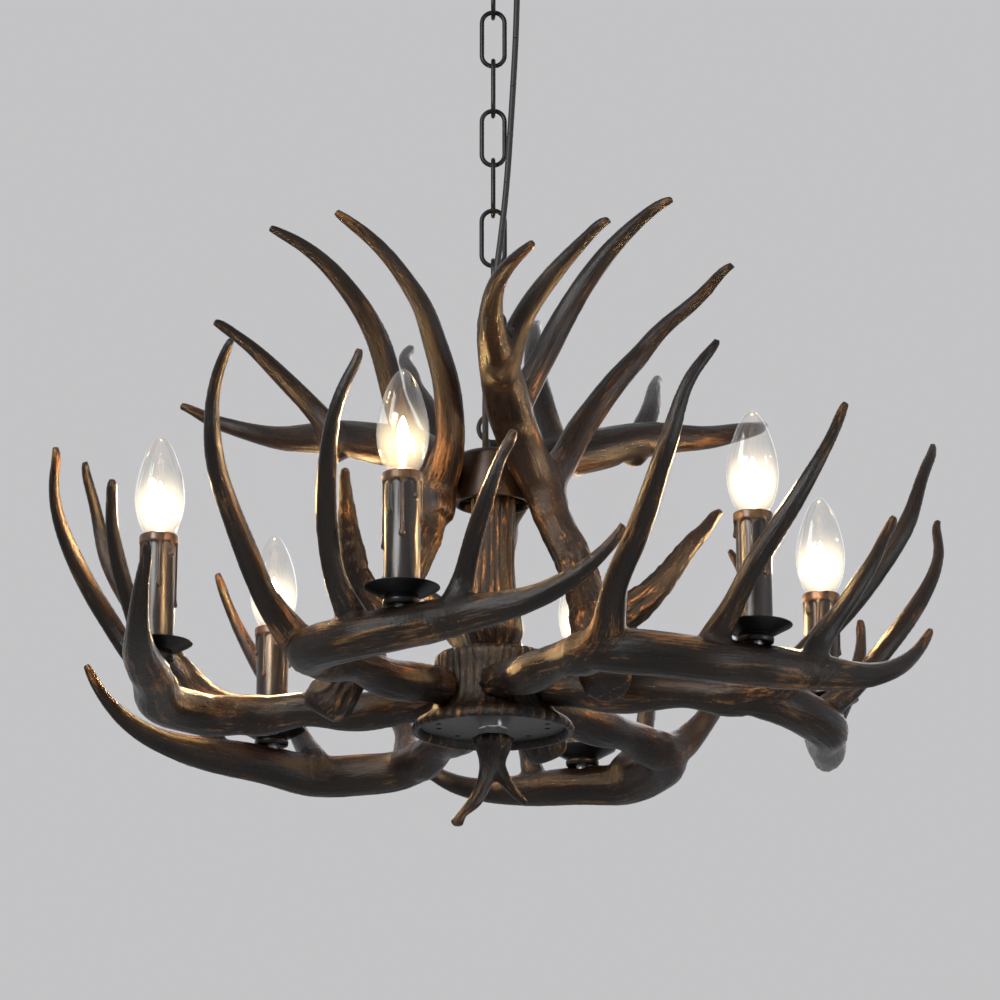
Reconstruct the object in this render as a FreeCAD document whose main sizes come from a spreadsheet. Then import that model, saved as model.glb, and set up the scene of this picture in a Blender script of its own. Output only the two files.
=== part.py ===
import FreeCAD, Part
import math
import os

import Sketcher
from FreeCAD import Placement, Rotation, Vector

# Antler chandelier on a chain. Millimetres, +Z up, origin on the ceiling face, X to the right
# and Y away from the viewer. Everything hangs below the origin.

os.makedirs("parts", exist_ok=True)
doc = FreeCAD.newDocument("antler_chandelier")

UP = Vector(0, 0, 1)

# ------------------------------------------------------------------------------ driving sizes

SIZES = {
    # ceiling group
    "strap_length": 100,
    "strap_width": 18,
    "strap_thickness": 3,
    "strap_slot_spacing": 84,
    "strap_slot_width": 4.5,
    "canopy_radius": 62,
    "canopy_height": 27,
    "canopy_wall": 1.6,
    "pipe_radius": 5,
    "pipe_bore": 3.4,
    "thread_clearance": 0.1,
    "lock_nut_radius": 9,
    "lock_nut_height": 4,
    "canopy_pipe_length": 34,
    "canopy_loop_drop": 33.6,
    "canopy_loop_radius": 9.5,
    "loop_collar_radius": 12,
    "loop_collar_height": 14.5,
    "grip_offset": 18,
    "grip_radius": 6,
    "grip_flange": 2.5,
    "grip_height": 10,
    "terminal_length": 24,
    "terminal_width": 14,
    "terminal_height": 12,
    "terminal_offset": 26,
    # chain and cord
    "chain_wire": 3.4,
    "link_length": 45.8,
    "link_width": 20,
    "running_gap": 0.3,
    "cord_radius": 2.25,
    "cord_clearance": 0.4,
    # collar and column
    "collar_loop_radius": 10.3,
    "collar_loop_height": 31.5,
    "loop_neck_radius": 7,
    "loop_neck_height": 11,
    "collar_radius": 27.5,
    "collar_height": 36,
    "collar_wall": 3.2,
    "collar_top": 4,
    "cord_entry_offset": 16,
    "collar_screw_radius": 2,
    "collar_screw_length": 9,
    "collar_screw_head": 3.4,
    "collar_screw_rise": 7,
    "column_length": 110,
    "column_radius": 15,
    "column_swell": 21,
    "column_foot": 14,
    "column_bore": 8,
    "flange_height": 9,
    "flange_clearance": 0.2,
    # hub
    "hub_height": 56,
    "hub_waist_radius": 40,
    "hub_flare_radius": 56.5,
    "hub_rim": 3.5,
    "hub_wall": 8,
    "hub_seat_drop": 32,
    "plate_radius": 50.5,
    "plate_thickness": 3,
    "plate_recess": 5,
    "plate_clearance": 0.3,
    "plate_ledge": 3.8,
    "vent_radius": 2,
    "vent_ring_radius": 38,
    "vent_spread": 14,
    "washer_radius": 10,
    "washer_thickness": 1.6,
    "stem_nut_across": 17,
    "stem_nut_height": 5,
    "finial_bore_depth": 12,
    "bolt_radius": 4,
    "bolt_length": 30,
    "bolt_head_radius": 6.5,
    "bolt_head_height": 5.3,
    "bolt_clearance": 0.2,
    # upper antler screws
    "bed_screw_radius": 2.5,
    "bed_screw_length": 14,
    "bed_screw_head_radius": 4.5,
    "bed_screw_head_height": 3,
    # candles
    "nipple_socket_depth": 15,
    "cup_radius": 12.5,
    "seat_margin": 1.5,
    "cup_height": 6,
    "pan_radius": 25,
    "pan_rim": 6.4,
    "pan_thickness": 1.8,
    "sleeve_radius": 12,
    "sleeve_bore": 10.8,
    "sleeve_height": 82.2,
    "drip_radius": 14,
    "drip_length": 9,
    "drip_round": 1.5,
    "socket_radius": 10.4,
    "socket_height": 42,
    "socket_bore": 7.1,
    "socket_floor": 4,
    "socket_recess": 3,
    "cap_radius": 6.8,
    "cap_height": 27,
    "bulb_radius": 17.5,
    "bulb_height": 72,
    "bulb_neck": 6,
    "glass_wall": 0.9,
    "stem_glass_radius": 2.6,
    "stem_glass_height": 22,
}

sizes = doc.addObject("Spreadsheet::Sheet", "Sizes")
for row, (alias, value) in enumerate(SIZES.items(), start=1):
    sizes.set(f"A{row}", alias.replace("_", " "))
    sizes.set(f"B{row}", str(value))
    sizes.setAlias(f"B{row}", alias)
doc.recompute()


def cell(alias):
    return f"Sizes.{alias}"


def size(expression):
    """The number that an expression in the sheet's sizes comes to."""
    return float(sizes.evalExpression(expression))


# Heights, as expressions in the sheet's sizes, from the ceiling downwards.
CANOPY_FOOT = "-Sizes.canopy_height"
CANOPY_LOOP_WIRE = "(-Sizes.canopy_height - Sizes.canopy_loop_drop)"
WIRE_STEP = "(Sizes.chain_wire + Sizes.running_gap)"
LINK_REACH = "((Sizes.link_length - Sizes.chain_wire) / 2)"
LINK_PITCH = f"(2 * {LINK_REACH} - {WIRE_STEP})"
FIRST_LINK = f"({CANOPY_LOOP_WIRE} + {WIRE_STEP} - {LINK_REACH})"
LINK_COUNT = 8
LAST_LINK = f"({FIRST_LINK} - {LINK_COUNT - 1} * {LINK_PITCH})"
COLLAR_LOOP_WIRE = f"({LAST_LINK} - {LINK_REACH} + {WIRE_STEP})"
COLLAR_TOP = f"({COLLAR_LOOP_WIRE} - Sizes.collar_loop_height)"
COLLAR_FOOT = f"({COLLAR_TOP} - Sizes.collar_height)"
UPPER_SEAT = f"({COLLAR_TOP} - Sizes.collar_height / 2)"
HUB_TOP = f"({COLLAR_FOOT} - Sizes.column_length)"
HUB_FOOT = f"({HUB_TOP} - Sizes.hub_height)"
HUB_SEAT = f"({HUB_TOP} - Sizes.hub_seat_drop)"
PLATE_FOOT = f"({HUB_FOOT} + Sizes.plate_recess)"
NUT_TOP = f"({PLATE_FOOT} - Sizes.washer_thickness)"
FINIAL_TOP = f"({NUT_TOP} - Sizes.stem_nut_height)"
STEM_TOP = f"({COLLAR_TOP} + Sizes.loop_neck_height / 2)"
STEM_FOOT = f"({FINIAL_TOP} - Sizes.finial_bore_depth)"
BORE = "(Sizes.pipe_radius + Sizes.thread_clearance)"

# Directions of the arms about the fixture's axis, in degrees from +X towards +Y.
LOWER_ARMS = 6
UPPER_ARMS = 3
LOWER_BOLT_ANGLE = -141
UPPER_BED_ANGLES = (-62, -38)
BED_SCREW_RISE = 3
COLLAR_SCREW_ANGLE = -85

# Each sub-part that is written to a file, by its label.
pieces = {}


def keep(piece):
    pieces[piece.Label] = piece
    return piece


# ------------------------------------------------------------------------- sketch and body tools


def origin_plane(body, role):
    for feature in body.Origin.OriginFeatures:
        if feature.Role == role:
            return feature
    raise ValueError(role)


def new_body(label):
    body = doc.addObject("PartDesign::Body", label)
    body.Label = label
    return body


def new_sketch(body, role, name):
    sketch = body.newObject("Sketcher::SketchObject", name)
    sketch.AttachmentSupport = (origin_plane(body, role), [""])
    sketch.MapMode = "FlatFace"
    return sketch


def pin_point(sketch, curve, end, across, along):
    """Ties one point of a curve to the sketch's axes by two bound distances."""
    for kind, axis, expression in (("DistanceX", -2, across), ("DistanceY", -1, along)):
        if expression == "0":
            sketch.addConstraint(Sketcher.Constraint("PointOnObject", curve, end, axis))
        else:
            value = size(expression)
            index = sketch.addConstraint(Sketcher.Constraint(kind, -1, 1, curve, end, value))
            sketch.setExpression(f"Constraints[{index}]", expression)


def outline(sketch, points):
    """A closed outline of straight lines through points given as pairs of expressions."""
    spots = [Vector(size(x), size(y), 0) for x, y in points]
    for start, end in zip(spots, spots[1:] + spots[:1]):
        sketch.addGeometry(Part.LineSegment(start, end), False)
    for index, (x, y) in enumerate(points):
        before = (index - 1) % len(points)
        sketch.addConstraint(Sketcher.Constraint("Coincident", before, 2, index, 1))
        pin_point(sketch, index, 1, x, y)


def add_circle(sketch, x, y, radius):
    spot = Vector(size(x), size(y), 0)
    curve = sketch.addGeometry(Part.Circle(spot, Vector(0, 0, 1), size(radius)), False)
    index = sketch.addConstraint(Sketcher.Constraint("Radius", curve, size(radius)))
    sketch.setExpression(f"Constraints[{index}]", radius)
    pin_point(sketch, curve, 3, x, y)


def bind_height(body, expression):
    body.setExpression("Placement.Base.z", expression)


def revolved(label, points, height=None):
    """A body turned about its own Z axis from an outline of radius and height pairs."""
    body = new_body(label)
    sketch = new_sketch(body, "XZ_Plane", label + "_outline")
    outline(sketch, points)
    turn = body.newObject("PartDesign::Revolution", label + "_turned")
    turn.Profile = sketch
    turn.ReferenceAxis = (sketch, ["V_Axis"])
    turn.Angle = 360
    sketch.Visibility = False
    if height is not None:
        bind_height(body, height)
    return body


def padded(label, fill, thickness, height=None):
    """A body raised from a sketch in its own XY plane, which fill draws."""
    body = new_body(label)
    sketch = new_sketch(body, "XY_Plane", label + "_outline")
    fill(sketch)
    pad = body.newObject("PartDesign::Pad", label + "_pad")
    pad.Profile = sketch
    pad.setExpression("Length", thickness)
    if height is not None:
        bind_height(body, height)
    return body


def cut_holes(body, role, name, circles, reverse, copies=1):
    """Cuts round holes right through one way, once or spaced round the body's Z axis."""
    doc.recompute()
    before = body.Shape.Volume
    sketch = new_sketch(body, role, name + "_circles")
    for x, y, radius in circles:
        add_circle(sketch, x, y, radius)
    pocket = body.newObject("PartDesign::Pocket", name)
    pocket.Profile = sketch
    pocket.Type = "ThroughAll"
    pocket.Reversed = reverse
    if copies > 1:
        pattern = body.newObject("PartDesign::PolarPattern", name + "_pattern")
        pattern.Originals = [pocket]
        pattern.Axis = (origin_plane(body, "Z_Axis"), [""])
        pattern.Angle = 360
        pattern.Occurrences = copies
        body.Tip = pattern
    doc.recompute()
    if body.Shape.Volume >= before:
        raise ValueError(f"{name} cuts nothing")


# ------------------------------------------------------------------------------- ceiling group


def make_strap():
    half = "(Sizes.strap_length / 2)"
    side = "(Sizes.strap_width / 2)"

    def draw(sketch):
        corners = [(f"-{half}", f"-{side}"), (half, f"-{side}"), (half, side), (f"-{half}", side)]
        outline(sketch, corners)
        add_circle(sketch, "0", "0", BORE)

    strap = padded("ceiling_strap", draw, cell("strap_thickness"), "-Sizes.strap_thickness")
    spot = "(Sizes.strap_slot_spacing / 2)"
    hole = "Sizes.strap_slot_width / 2"
    holes = [(spot, "0", hole), (f"-{spot}", "0", hole)]
    cut_holes(strap, "XY_Plane", "strap_holes", holes, True)
    return keep(strap)


def make_canopy():
    wall = cell("canopy_wall")
    rim = cell("canopy_radius")
    foot = "Sizes.canopy_height"
    # The dome is drawn from its foot, which is the underside, up to the ceiling.
    points = [
        (BORE, "0"),
        ("Sizes.canopy_radius * 0.35", "0"),
        ("Sizes.canopy_radius * 0.8", f"{foot} * 0.3"),
        ("Sizes.canopy_radius * 0.95", f"{foot} * 0.62"),
        (rim, foot),
        (f"{rim} - {wall}", foot),
        (f"Sizes.canopy_radius * 0.95 - {wall}", f"{foot} * 0.62 + {wall} / 2"),
        (f"Sizes.canopy_radius * 0.8 - {wall}", f"{foot} * 0.3 + {wall}"),
        (f"Sizes.canopy_radius * 0.35 - {wall}", wall),
        (BORE, wall),
    ]
    canopy = revolved("canopy", points, CANOPY_FOOT)
    grip_hole = [(cell("grip_offset"), "0", "Sizes.grip_radius - 1")]
    cut_holes(canopy, "XY_Plane", "canopy_cord_hole", grip_hole, True)
    return keep(canopy)


def make_canopy_pipe():
    def draw(sketch):
        add_circle(sketch, "0", "0", cell("pipe_radius"))
        add_circle(sketch, "0", "0", cell("pipe_bore"))

    foot = "(-Sizes.canopy_pipe_length)"
    return keep(padded("canopy_pipe", draw, cell("canopy_pipe_length"), foot))


def hexagon(sketch, across):
    """A hexagon of a given width across its flats, about the sketch's centre."""
    corners = []
    for turn in range(6):
        angle = math.radians(60 * turn)
        reach = f"({across} / {math.sqrt(3):.6f})"
        corners.append((f"{reach} * {math.cos(angle):.6f}", f"{reach} * {math.sin(angle):.6f}"))
    corners[0] = (corners[0][0], "0")
    corners[3] = (corners[3][0], "0")
    outline(sketch, corners)


def make_nut(label, across, thickness, height):
    def draw(sketch):
        hexagon(sketch, across)
        add_circle(sketch, "0", "0", BORE)

    return keep(padded(label, draw, thickness, height))


def make_canopy_loop():
    """A threaded collar under the canopy with a round ring below it, standing across X."""
    neck = revolved(
        "canopy_loop_neck",
        [
            (BORE, "0"),
            (cell("loop_collar_radius"), "0"),
            (cell("loop_collar_radius"), "-Sizes.loop_collar_height + 4"),
            ("Sizes.chain_wire", "-Sizes.loop_collar_height"),
            ("0", "-Sizes.loop_collar_height"),
            ("0", "-Sizes.canopy_pipe_length + Sizes.canopy_height - 1"),
            (BORE, "-Sizes.canopy_pipe_length + Sizes.canopy_height - 1"),
        ],
    )
    ring = doc.addObject("Part::Torus", "canopy_loop_ring")
    ring.setExpression("Radius1", cell("canopy_loop_radius"))
    ring.setExpression("Radius2", "Sizes.chain_wire / 2")
    ring.Placement = Placement(Vector(), Rotation(Vector(0, 1, 0), 90))
    ring.setExpression("Placement.Base.z", "-Sizes.canopy_loop_drop + Sizes.canopy_loop_radius")
    loop = doc.addObject("Part::Fuse", "canopy_loop")
    loop.Base = neck
    loop.Tool = ring
    loop.Label = "canopy_loop"
    bind_height(loop, CANOPY_FOOT)
    return keep(loop)


def make_cord_grip():
    """A bushing in the canopy, with a flange below, that the cord passes through."""
    bore = "Sizes.cord_radius + Sizes.cord_clearance"
    inner = "Sizes.grip_radius - 1 - Sizes.thread_clearance"
    grip = revolved(
        "cord_grip",
        [
            (bore, "-Sizes.grip_flange"),
            (cell("grip_radius"), "-Sizes.grip_flange"),
            (cell("grip_radius"), "0"),
            (inner, "0"),
            (inner, "Sizes.grip_height - Sizes.grip_flange"),
            (bore, "Sizes.grip_height - Sizes.grip_flange"),
        ],
        CANOPY_FOOT,
    )
    grip.setExpression("Placement.Base.x", cell("grip_offset"))
    return keep(grip)


def make_terminal_block():
    """The block where the house wires meet the fixture's, screwed under the strap."""
    block = doc.addObject("Part::Box", "terminal_block")
    block.setExpression("Length", cell("terminal_length"))
    block.setExpression("Width", cell("terminal_width"))
    block.setExpression("Height", cell("terminal_height"))
    block.setExpression("Placement.Base.x", "-Sizes.terminal_offset - Sizes.terminal_length / 2")
    block.setExpression("Placement.Base.y", "-Sizes.terminal_width / 2")
    bind_height(block, "-Sizes.strap_thickness - Sizes.terminal_height")
    return keep(block)


# ------------------------------------------------------------------------------ chain and cord


def make_link(number):
    """An oval link. Odd links face the viewer and even ones stand edge on."""
    wire = size("Sizes.chain_wire / 2")
    bend = size("(Sizes.link_width - Sizes.chain_wire) / 2")
    straight = size(LINK_REACH) - bend
    section = Part.Face(Part.Wire([Part.makeCircle(wire, Vector(bend, 0, 0), UP)]))
    sides = []
    for side in (-1, 1):
        bow = section.revolve(Vector(), Vector(0, -side, 0), 180)
        bow.translate(Vector(0, 0, side * straight))
        leg = Part.makeCylinder(wire, 2 * straight, Vector(side * bend, 0, -straight), UP)
        sides += [bow, leg]
    shape = sides[0].multiFuse(sides[1:]).removeSplitter()
    link = doc.addObject("Part::Feature", f"chain_link_{number}")
    link.Shape = shape
    turn = 0 if number % 2 else 90
    height = size(FIRST_LINK) - (number - 1) * size(LINK_PITCH)
    link.Placement = Placement(Vector(0, 0, height), Rotation(UP, turn))
    return keep(link)


# The cord's way down beside the chain, from the canopy's bushing to the collar's hole.
CORD_WAY = [
    (18, 0, -26.5),
    (17, -1, -66),
    (15, -3.5, -108),
    (12.6, -6.5, -150),
    (10, -9.2, -193),
    (5.8, -12.2, -236),
    (0.4, -14, -276),
    (-3.6, -15, -315),
    (-5.6, -15.8, -354),
    (-5.4, -15.2, -390),
]


def bent_tube(points, radius, name):
    """A round tube along straight runs joined by arcs as large as the runs allow."""
    edges = []
    start = points[0]
    radii = []
    for before, corner, after in zip(points, points[1:], points[2:]):
        way_in = (corner - before).normalize()
        way_out = (after - corner).normalize()
        half_turn = way_in.getAngle(way_out) / 2
        cut_back = 0.45 * min((corner - before).Length, (after - corner).Length)
        radii.append(cut_back / math.tan(half_turn))
        arc_start = corner - way_in * cut_back
        arc_end = corner + way_out * cut_back
        inward = (way_out - way_in).normalize()
        depth = radii[-1] / math.cos(half_turn) - radii[-1]
        bulge = corner + inward * depth
        edges.append(Part.LineSegment(start, arc_start).toShape())
        edges.append(Part.Arc(arc_start, bulge, arc_end).toShape())
        start = arc_end
    edges.append(Part.LineSegment(start, points[-1]).toShape())
    way = Part.Wire(edges)
    section = Part.Wire([Part.makeCircle(radius, points[0], points[1] - points[0])])
    tube = way.makePipeShell([section], True, True)
    expected = math.pi * radius**2 * way.Length
    print(name, "radii", [round(r) for r in radii], "length", round(way.Length, 1))
    if abs(tube.Volume - expected) > 0.01 * expected:
        raise ValueError(f"{name} has the wrong volume")
    return tube


def make_cord():
    """The supply cord, from inside the canopy's bushing down into the collar."""
    top = size(CANOPY_FOOT)
    drop = (size(COLLAR_TOP) - top) / (CORD_WAY[-1][2] - 8 - CORD_WAY[0][2])
    points = []
    for x, y, z in CORD_WAY:
        points.append(Vector(x, y, top + (z - CORD_WAY[0][2]) * drop))
    points[0].x = size(cell("grip_offset"))
    points[0].z = top + size("Sizes.grip_height - Sizes.grip_flange")
    entry = cord_entry()
    points.append(Vector(entry.x, entry.y, size(COLLAR_TOP) - size(cell("collar_top"))))
    cord = doc.addObject("Part::Feature", "power_cord")
    cord.Shape = bent_tube(points, size(cell("cord_radius")), "power_cord")
    return keep(cord)


# The hole's direction about the axis, in degrees from +X towards +Y.
CORD_ENTRY_ANGLE = -110


def cord_entry():
    """Where the cord passes the collar's top, in front of the loop and a little left."""
    angle = math.radians(CORD_ENTRY_ANGLE)
    reach = size(cell("cord_entry_offset"))
    return Vector(reach * math.cos(angle), reach * math.sin(angle), 0)


# ----------------------------------------------------------------------------- horn-shaped solids


def horn(stations):
    """A tapering round horn through stations of x, y, z and radius."""
    spots = [Vector(*station[:3]) for station in stations]
    turned = Rotation()
    heading = UP
    rings = []
    for index, spot in enumerate(spots):
        before = spots[max(index - 1, 0)]
        after = spots[min(index + 1, len(spots) - 1)]
        ahead = after - spot
        behind = spot - before
        if ahead.Length and behind.Length:
            # The nearer neighbour says more about the way the horn runs here.
            way = behind * (ahead.Length / behind.Length) + ahead * (behind.Length / ahead.Length)
        else:
            way = ahead + behind
        way.normalize()
        turned = Rotation(heading, way).multiply(turned)
        heading = way
        ring = Part.Wire([Part.makeCircle(stations[index][3])])
        ring.Placement = Placement(spot, turned)
        rings.append(ring)
    return Part.makeLoft(rings, True, False)


# The lower casting, about the fixture's axis, heights from the line where it seats on the hub.
# It is laid out for a hub of this waist radius and follows the waist outwards and inwards.
LOWER_LAID_FOR = 40
LOWER_SEAT = Vector(-37, -26, 0)
LOWER_SEAT_WAY = Vector(-33, -21, 0).normalize()
LOWER_CANDLE = Vector(-67.3, -228.1, 4.5)
LOWER_CASTING = {
    "butt and back tine": [
        (-20, -5.5, 3.5, 13),
        (-34, -22, 3, 13.2),
        (-58, -51, -0.5, 13.5),
        (-84, -82, -2.5, 13.2),
        (-110, -117, -5, 13.8),
        (-130, -143, -3, 13),
        (-144, -157, 9, 10.6),
        (-155, -164.5, 23, 8.9),
        (-167, -180, 45, 8.2),
        (-177, -195, 67, 7.7),
        (-186.5, -208, 89.5, 7),
        (-192.5, -219.5, 112.5, 6.4),
        (-194, -227.5, 136, 5.3),
        (-190.5, -237, 158.5, 4.3),
        (-181.8, -247.6, 178.5, 2.3),
    ],
    "beam": [
        (-113, -122, -4.5, 12.8),
        (-127, -148, -7.5, 14.4),
        (-124, -172, -10, 15),
        (-113, -194, -12, 15),
        (-97, -213, -12.8, 14.9),
        (-67.5, -229, -10, 14.3),
        (-45, -243.5, -8.8, 13.6),
        (-18, -261, -7, 11.4),
        (8, -274, -3.5, 9),
        (31, -284, 4.5, 7.4),
        (46, -290, 13.5, 6),
        (60, -294.5, 25.5, 4.6),
        (72, -299, 42, 2.3),
    ],
    "middle tine": [
        (-97, -209, -10, 12),
        (-99.5, -212.5, 2, 10.6),
        (-109, -228, 18, 8),
        (-114.6, -241.5, 36.5, 7.2),
        (-117.2, -255.5, 55.5, 7),
        (-117.7, -269.5, 75, 6.7),
        (-116.6, -282, 94.5, 5.9),
        (-113.4, -292.3, 114, 4.8),
        (-106.2, -299, 134, 4.1),
        (-98, -303.4, 154.6, 2.3),
    ],
    "front tine": [
        (-35, -251, -8, 11),
        (-31.5, -256, 4, 9.4),
        (-28, -260, 15.5, 7.8),
        (-25.3, -267.5, 28, 6.8),
        (-22, -275, 40.5, 6.5),
        (-18, -281.5, 53, 6.1),
        (-13.7, -287.5, 65.5, 5.5),
        (-9.3, -292.3, 78.5, 4.6),
        (-4, -295.7, 91, 4),
        (1.7, -298.4, 104, 2.3),
    ],
}

# How each lower antler was set by hand: degrees round the axis, drooping, and leaning.
LOWER_SETTING = [
    (2, -0.5, -0.5),
    (3.5, 1.5, -1),
    (-4, 2, -1),
    (0, 0, 0),
    (0, -0.5, 1),
    (-2, -3, 1.5),
]

# The upper casting, about the fixture's axis, heights from the middle of the collar.
UPPER_LAID_FOR = 27.5
UPPER_BED_WAY = Vector(26.5, -31.4, 0).normalize()
UPPER_TURNS = (-120, 0, 120)
UPPER_CASTING = {
    "trunk": [
        (79, -93, -176, 11),
        (78, -89.5, -170, 16.2),
        (74.5, -82, -158, 16),
        (70.2, -73.4, -139, 15.2),
        (67.1, -53.2, -111.7, 14.4),
        (61.5, -38, -84, 13.5),
        (52, -30.5, -58, 13),
        (42, -28, -36, 12.8),
        (38, -25, -15, 13.2),
        (44.5, -13, 4, 11.7),
        (55, -3, 24, 10),
        (67, 2, 45.7, 9.4),
        (81.5, 4, 67.2, 8.8),
        (98, 5, 87.7, 7.9),
        (115, 2.4, 107.4, 6.7),
        (134, -3.4, 124.3, 5.7),
        (153.2, -12.7, 139.5, 4.9),
        (171.4, -26.4, 153.3, 2.5),
    ],
    "stem": [
        (41, -22, -36, 11.5),
        (38, -24.4, -20.7, 14),
        (27.5, -32, 0.9, 15),
        (17.5, -45.5, 19, 15.6),
        (11.1, -66, 31.7, 15.7),
        (7.7, -91.3, 39.7, 15),
        (3.9, -117, 48.2, 13.4),
        (0.6, -142.5, 54.3, 11.7),
        (-1.4, -166, 57.5, 9.8),
        (-1.6, -186.7, 61.6, 8.4),
        (0, -205.7, 67.9, 7.2),
        (4.7, -223.4, 74.6, 6),
        (14, -238.6, 81.5, 4.7),
        (26.5, -251.8, 88.8, 2.4),
    ],
    "near tine": [
        (12, -62, 22, 11),
        (16.5, -61.5, 36, 11),
        (28.5, -63.5, 58.5, 9.3),
        (40, -64.2, 81.4, 8.7),
        (51.3, -66, 102.8, 8.3),
        (63.5, -71.5, 122, 7.7),
        (76.9, -79.2, 139.1, 6.9),
        (91.7, -88.2, 153.5, 5.9),
        (107.1, -99.2, 164.5, 4.8),
        (124.7, -110.9, 171.9, 2.5),
    ],
    "far tine": [
        (4, -118, 38, 10),
        (7.4, -124, 45, 11),
        (12.7, -131.8, 57.9, 9.5),
        (18.5, -140.3, 71, 8.3),
        (26.4, -149, 82.8, 7.6),
        (36, -157.2, 93.7, 6.9),
        (46.4, -164.8, 104.4, 6.1),
        (57.1, -172.6, 114.1, 5.1),
        (67.1, -180.7, 122.2, 4.3),
        (78.5, -188.1, 128.4, 2.4),
    ],
    "brow tine": [
        (62, -44, -108, 12),
        (72, -39.5, -110.5, 13.8),
        (89.5, -42, -109, 13),
        (102.5, -44.5, -101.5, 11.4),
        (113.2, -43.3, -90.4, 9.8),
        (122.8, -40.4, -78.6, 8.6),
        (131.7, -37.7, -65.8, 7.5),
        (141, -34, -53.2, 6.2),
        (150.7, -29.2, -41.2, 4.9),
        (160.2, -23.2, -29.3, 2.6),
    ],
}

FINIAL_CASTING = {
    "burr and left tine": [
        (0, 0, 0, 12.4),
        (0, 0, -4, 14),
        (0, 0, -9, 12.8),
        (-0.5, -1, -16, 10.2),
        (-1.5, -2, -23, 8.6),
        (-4.5, -4, -31, 6.3),
        (-8.5, -6, -41, 5.3),
        (-14.5, -8, -51, 4.7),
        (-22, -9.5, -59.5, 3.6),
        (-28.3, -10, -64.8, 2.2),
    ],
    "right tine": [
        (0, 0, -17, 8),
        (3, -0.5, -24, 6.8),
        (7.5, -1.5, -31, 4.9),
        (12.5, -2.5, -38.3, 3.7),
        (18, -3, -44.5, 2.8),
        (23.8, -3.5, -49.6, 1.8),
    ],
}


def casting(tines):
    horns = [horn(stations) for stations in tines.values()]
    return horns[0].multiFuse(horns[1:])


# ----------------------------------------------------------------------------- collar and column


def make_collar_loop():
    """The ring on top of the collar, facing the viewer, on a neck screwed to the stem."""
    neck = revolved(
        "collar_loop_neck",
        [
            ("0", "Sizes.loop_neck_height"),
            ("0", "Sizes.loop_neck_height / 2 + 1"),
            (BORE, "Sizes.loop_neck_height / 2 + 1"),
            (BORE, "0"),
            (cell("loop_neck_radius"), "0"),
            (cell("loop_neck_radius"), "Sizes.loop_neck_height - 3"),
            ("Sizes.loop_neck_radius - 2.5", "Sizes.loop_neck_height"),
        ],
    )
    ring = doc.addObject("Part::Torus", "collar_loop_ring")
    ring.setExpression("Radius1", cell("collar_loop_radius"))
    ring.setExpression("Radius2", "Sizes.chain_wire / 2")
    ring.Placement = Placement(Vector(), Rotation(Vector(1, 0, 0), 90))
    ring.setExpression("Placement.Base.z", "Sizes.collar_loop_height - Sizes.collar_loop_radius")
    loop = doc.addObject("Part::Fuse", "collar_loop")
    loop.Base = neck
    loop.Tool = ring
    loop.Label = "collar_loop"
    bind_height(loop, COLLAR_TOP)
    return keep(loop)


def make_collar():
    """The round cup that the upper antlers are screwed to, open below."""
    inside = "Sizes.collar_radius - Sizes.collar_wall"
    collar = revolved(
        "collar_body",
        [
            (BORE, "0"),
            ("Sizes.collar_radius - 3", "0"),
            (cell("collar_radius"), "-3"),
            (cell("collar_radius"), "-Sizes.collar_height"),
            (inside, "-Sizes.collar_height"),
            (inside, "-Sizes.collar_top"),
            (BORE, "-Sizes.collar_top"),
        ],
        COLLAR_TOP,
    )
    doc.recompute()
    entry = cord_entry()
    hole = "Sizes.cord_radius + Sizes.cord_clearance"
    across = f"Sizes.cord_entry_offset * {entry.x / entry.Length:.6f}"
    along = f"Sizes.cord_entry_offset * {entry.y / entry.Length:.6f}"
    cut_holes(collar, "XY_Plane", "collar_cord_hole", [(across, along, hole)], False)
    return collar


def make_column():
    """The bark-covered column between the hub and the collar, with a flange in the collar."""
    rise = "(Sizes.column_length + Sizes.collar_height - Sizes.collar_top)"
    flange = "Sizes.collar_radius - Sizes.collar_wall - Sizes.flange_clearance"
    column = revolved(
        "column_body",
        [
            (cell("column_bore"), "0"),
            (cell("column_foot"), "0"),
            (cell("column_swell"), "Sizes.column_length * 0.15"),
            ("Sizes.column_radius + 2", "Sizes.column_length * 0.32"),
            (cell("column_radius"), "Sizes.column_length * 0.6"),
            ("Sizes.column_radius + 1", "Sizes.column_length"),
            (flange, "Sizes.column_length + 1"),
            (flange, "Sizes.column_length + 1 + Sizes.flange_height"),
            (cell("column_radius"), "Sizes.column_length + 1 + Sizes.flange_height"),
            (cell("column_radius"), rise),
            (cell("column_bore"), rise),
        ],
        HUB_TOP,
    )
    return column


def spread(tool, count, angle):
    """Copies of a shape spaced evenly round the Z axis, the first at the given angle."""
    copies = []
    for number in range(count):
        copy = tool.copy()
        copy.rotate(Vector(), UP, angle + 360 / count * number)
        copies.append(copy)
    return copies


def screw(radius, length, head_radius, head_height):
    """A screw along +X from its head's seat at the origin, the head behind the seat."""
    shank = Part.makeCylinder(radius, length, Vector(), Vector(1, 0, 0))
    head = Part.makeCylinder(head_radius, head_height, Vector(-head_height, 0, 0), Vector(1, 0, 0))
    return shank.fuse(head).removeSplitter()


def group(label, solids):
    feature = doc.addObject("Part::Feature", label)
    feature.Shape = Part.makeCompound(solids)
    return keep(feature)


def drilled(label, shape, tools):
    feature = doc.addObject("Part::Feature", label)
    feature.Shape = shape.cut(Part.makeCompound(tools))
    return keep(feature)


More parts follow.
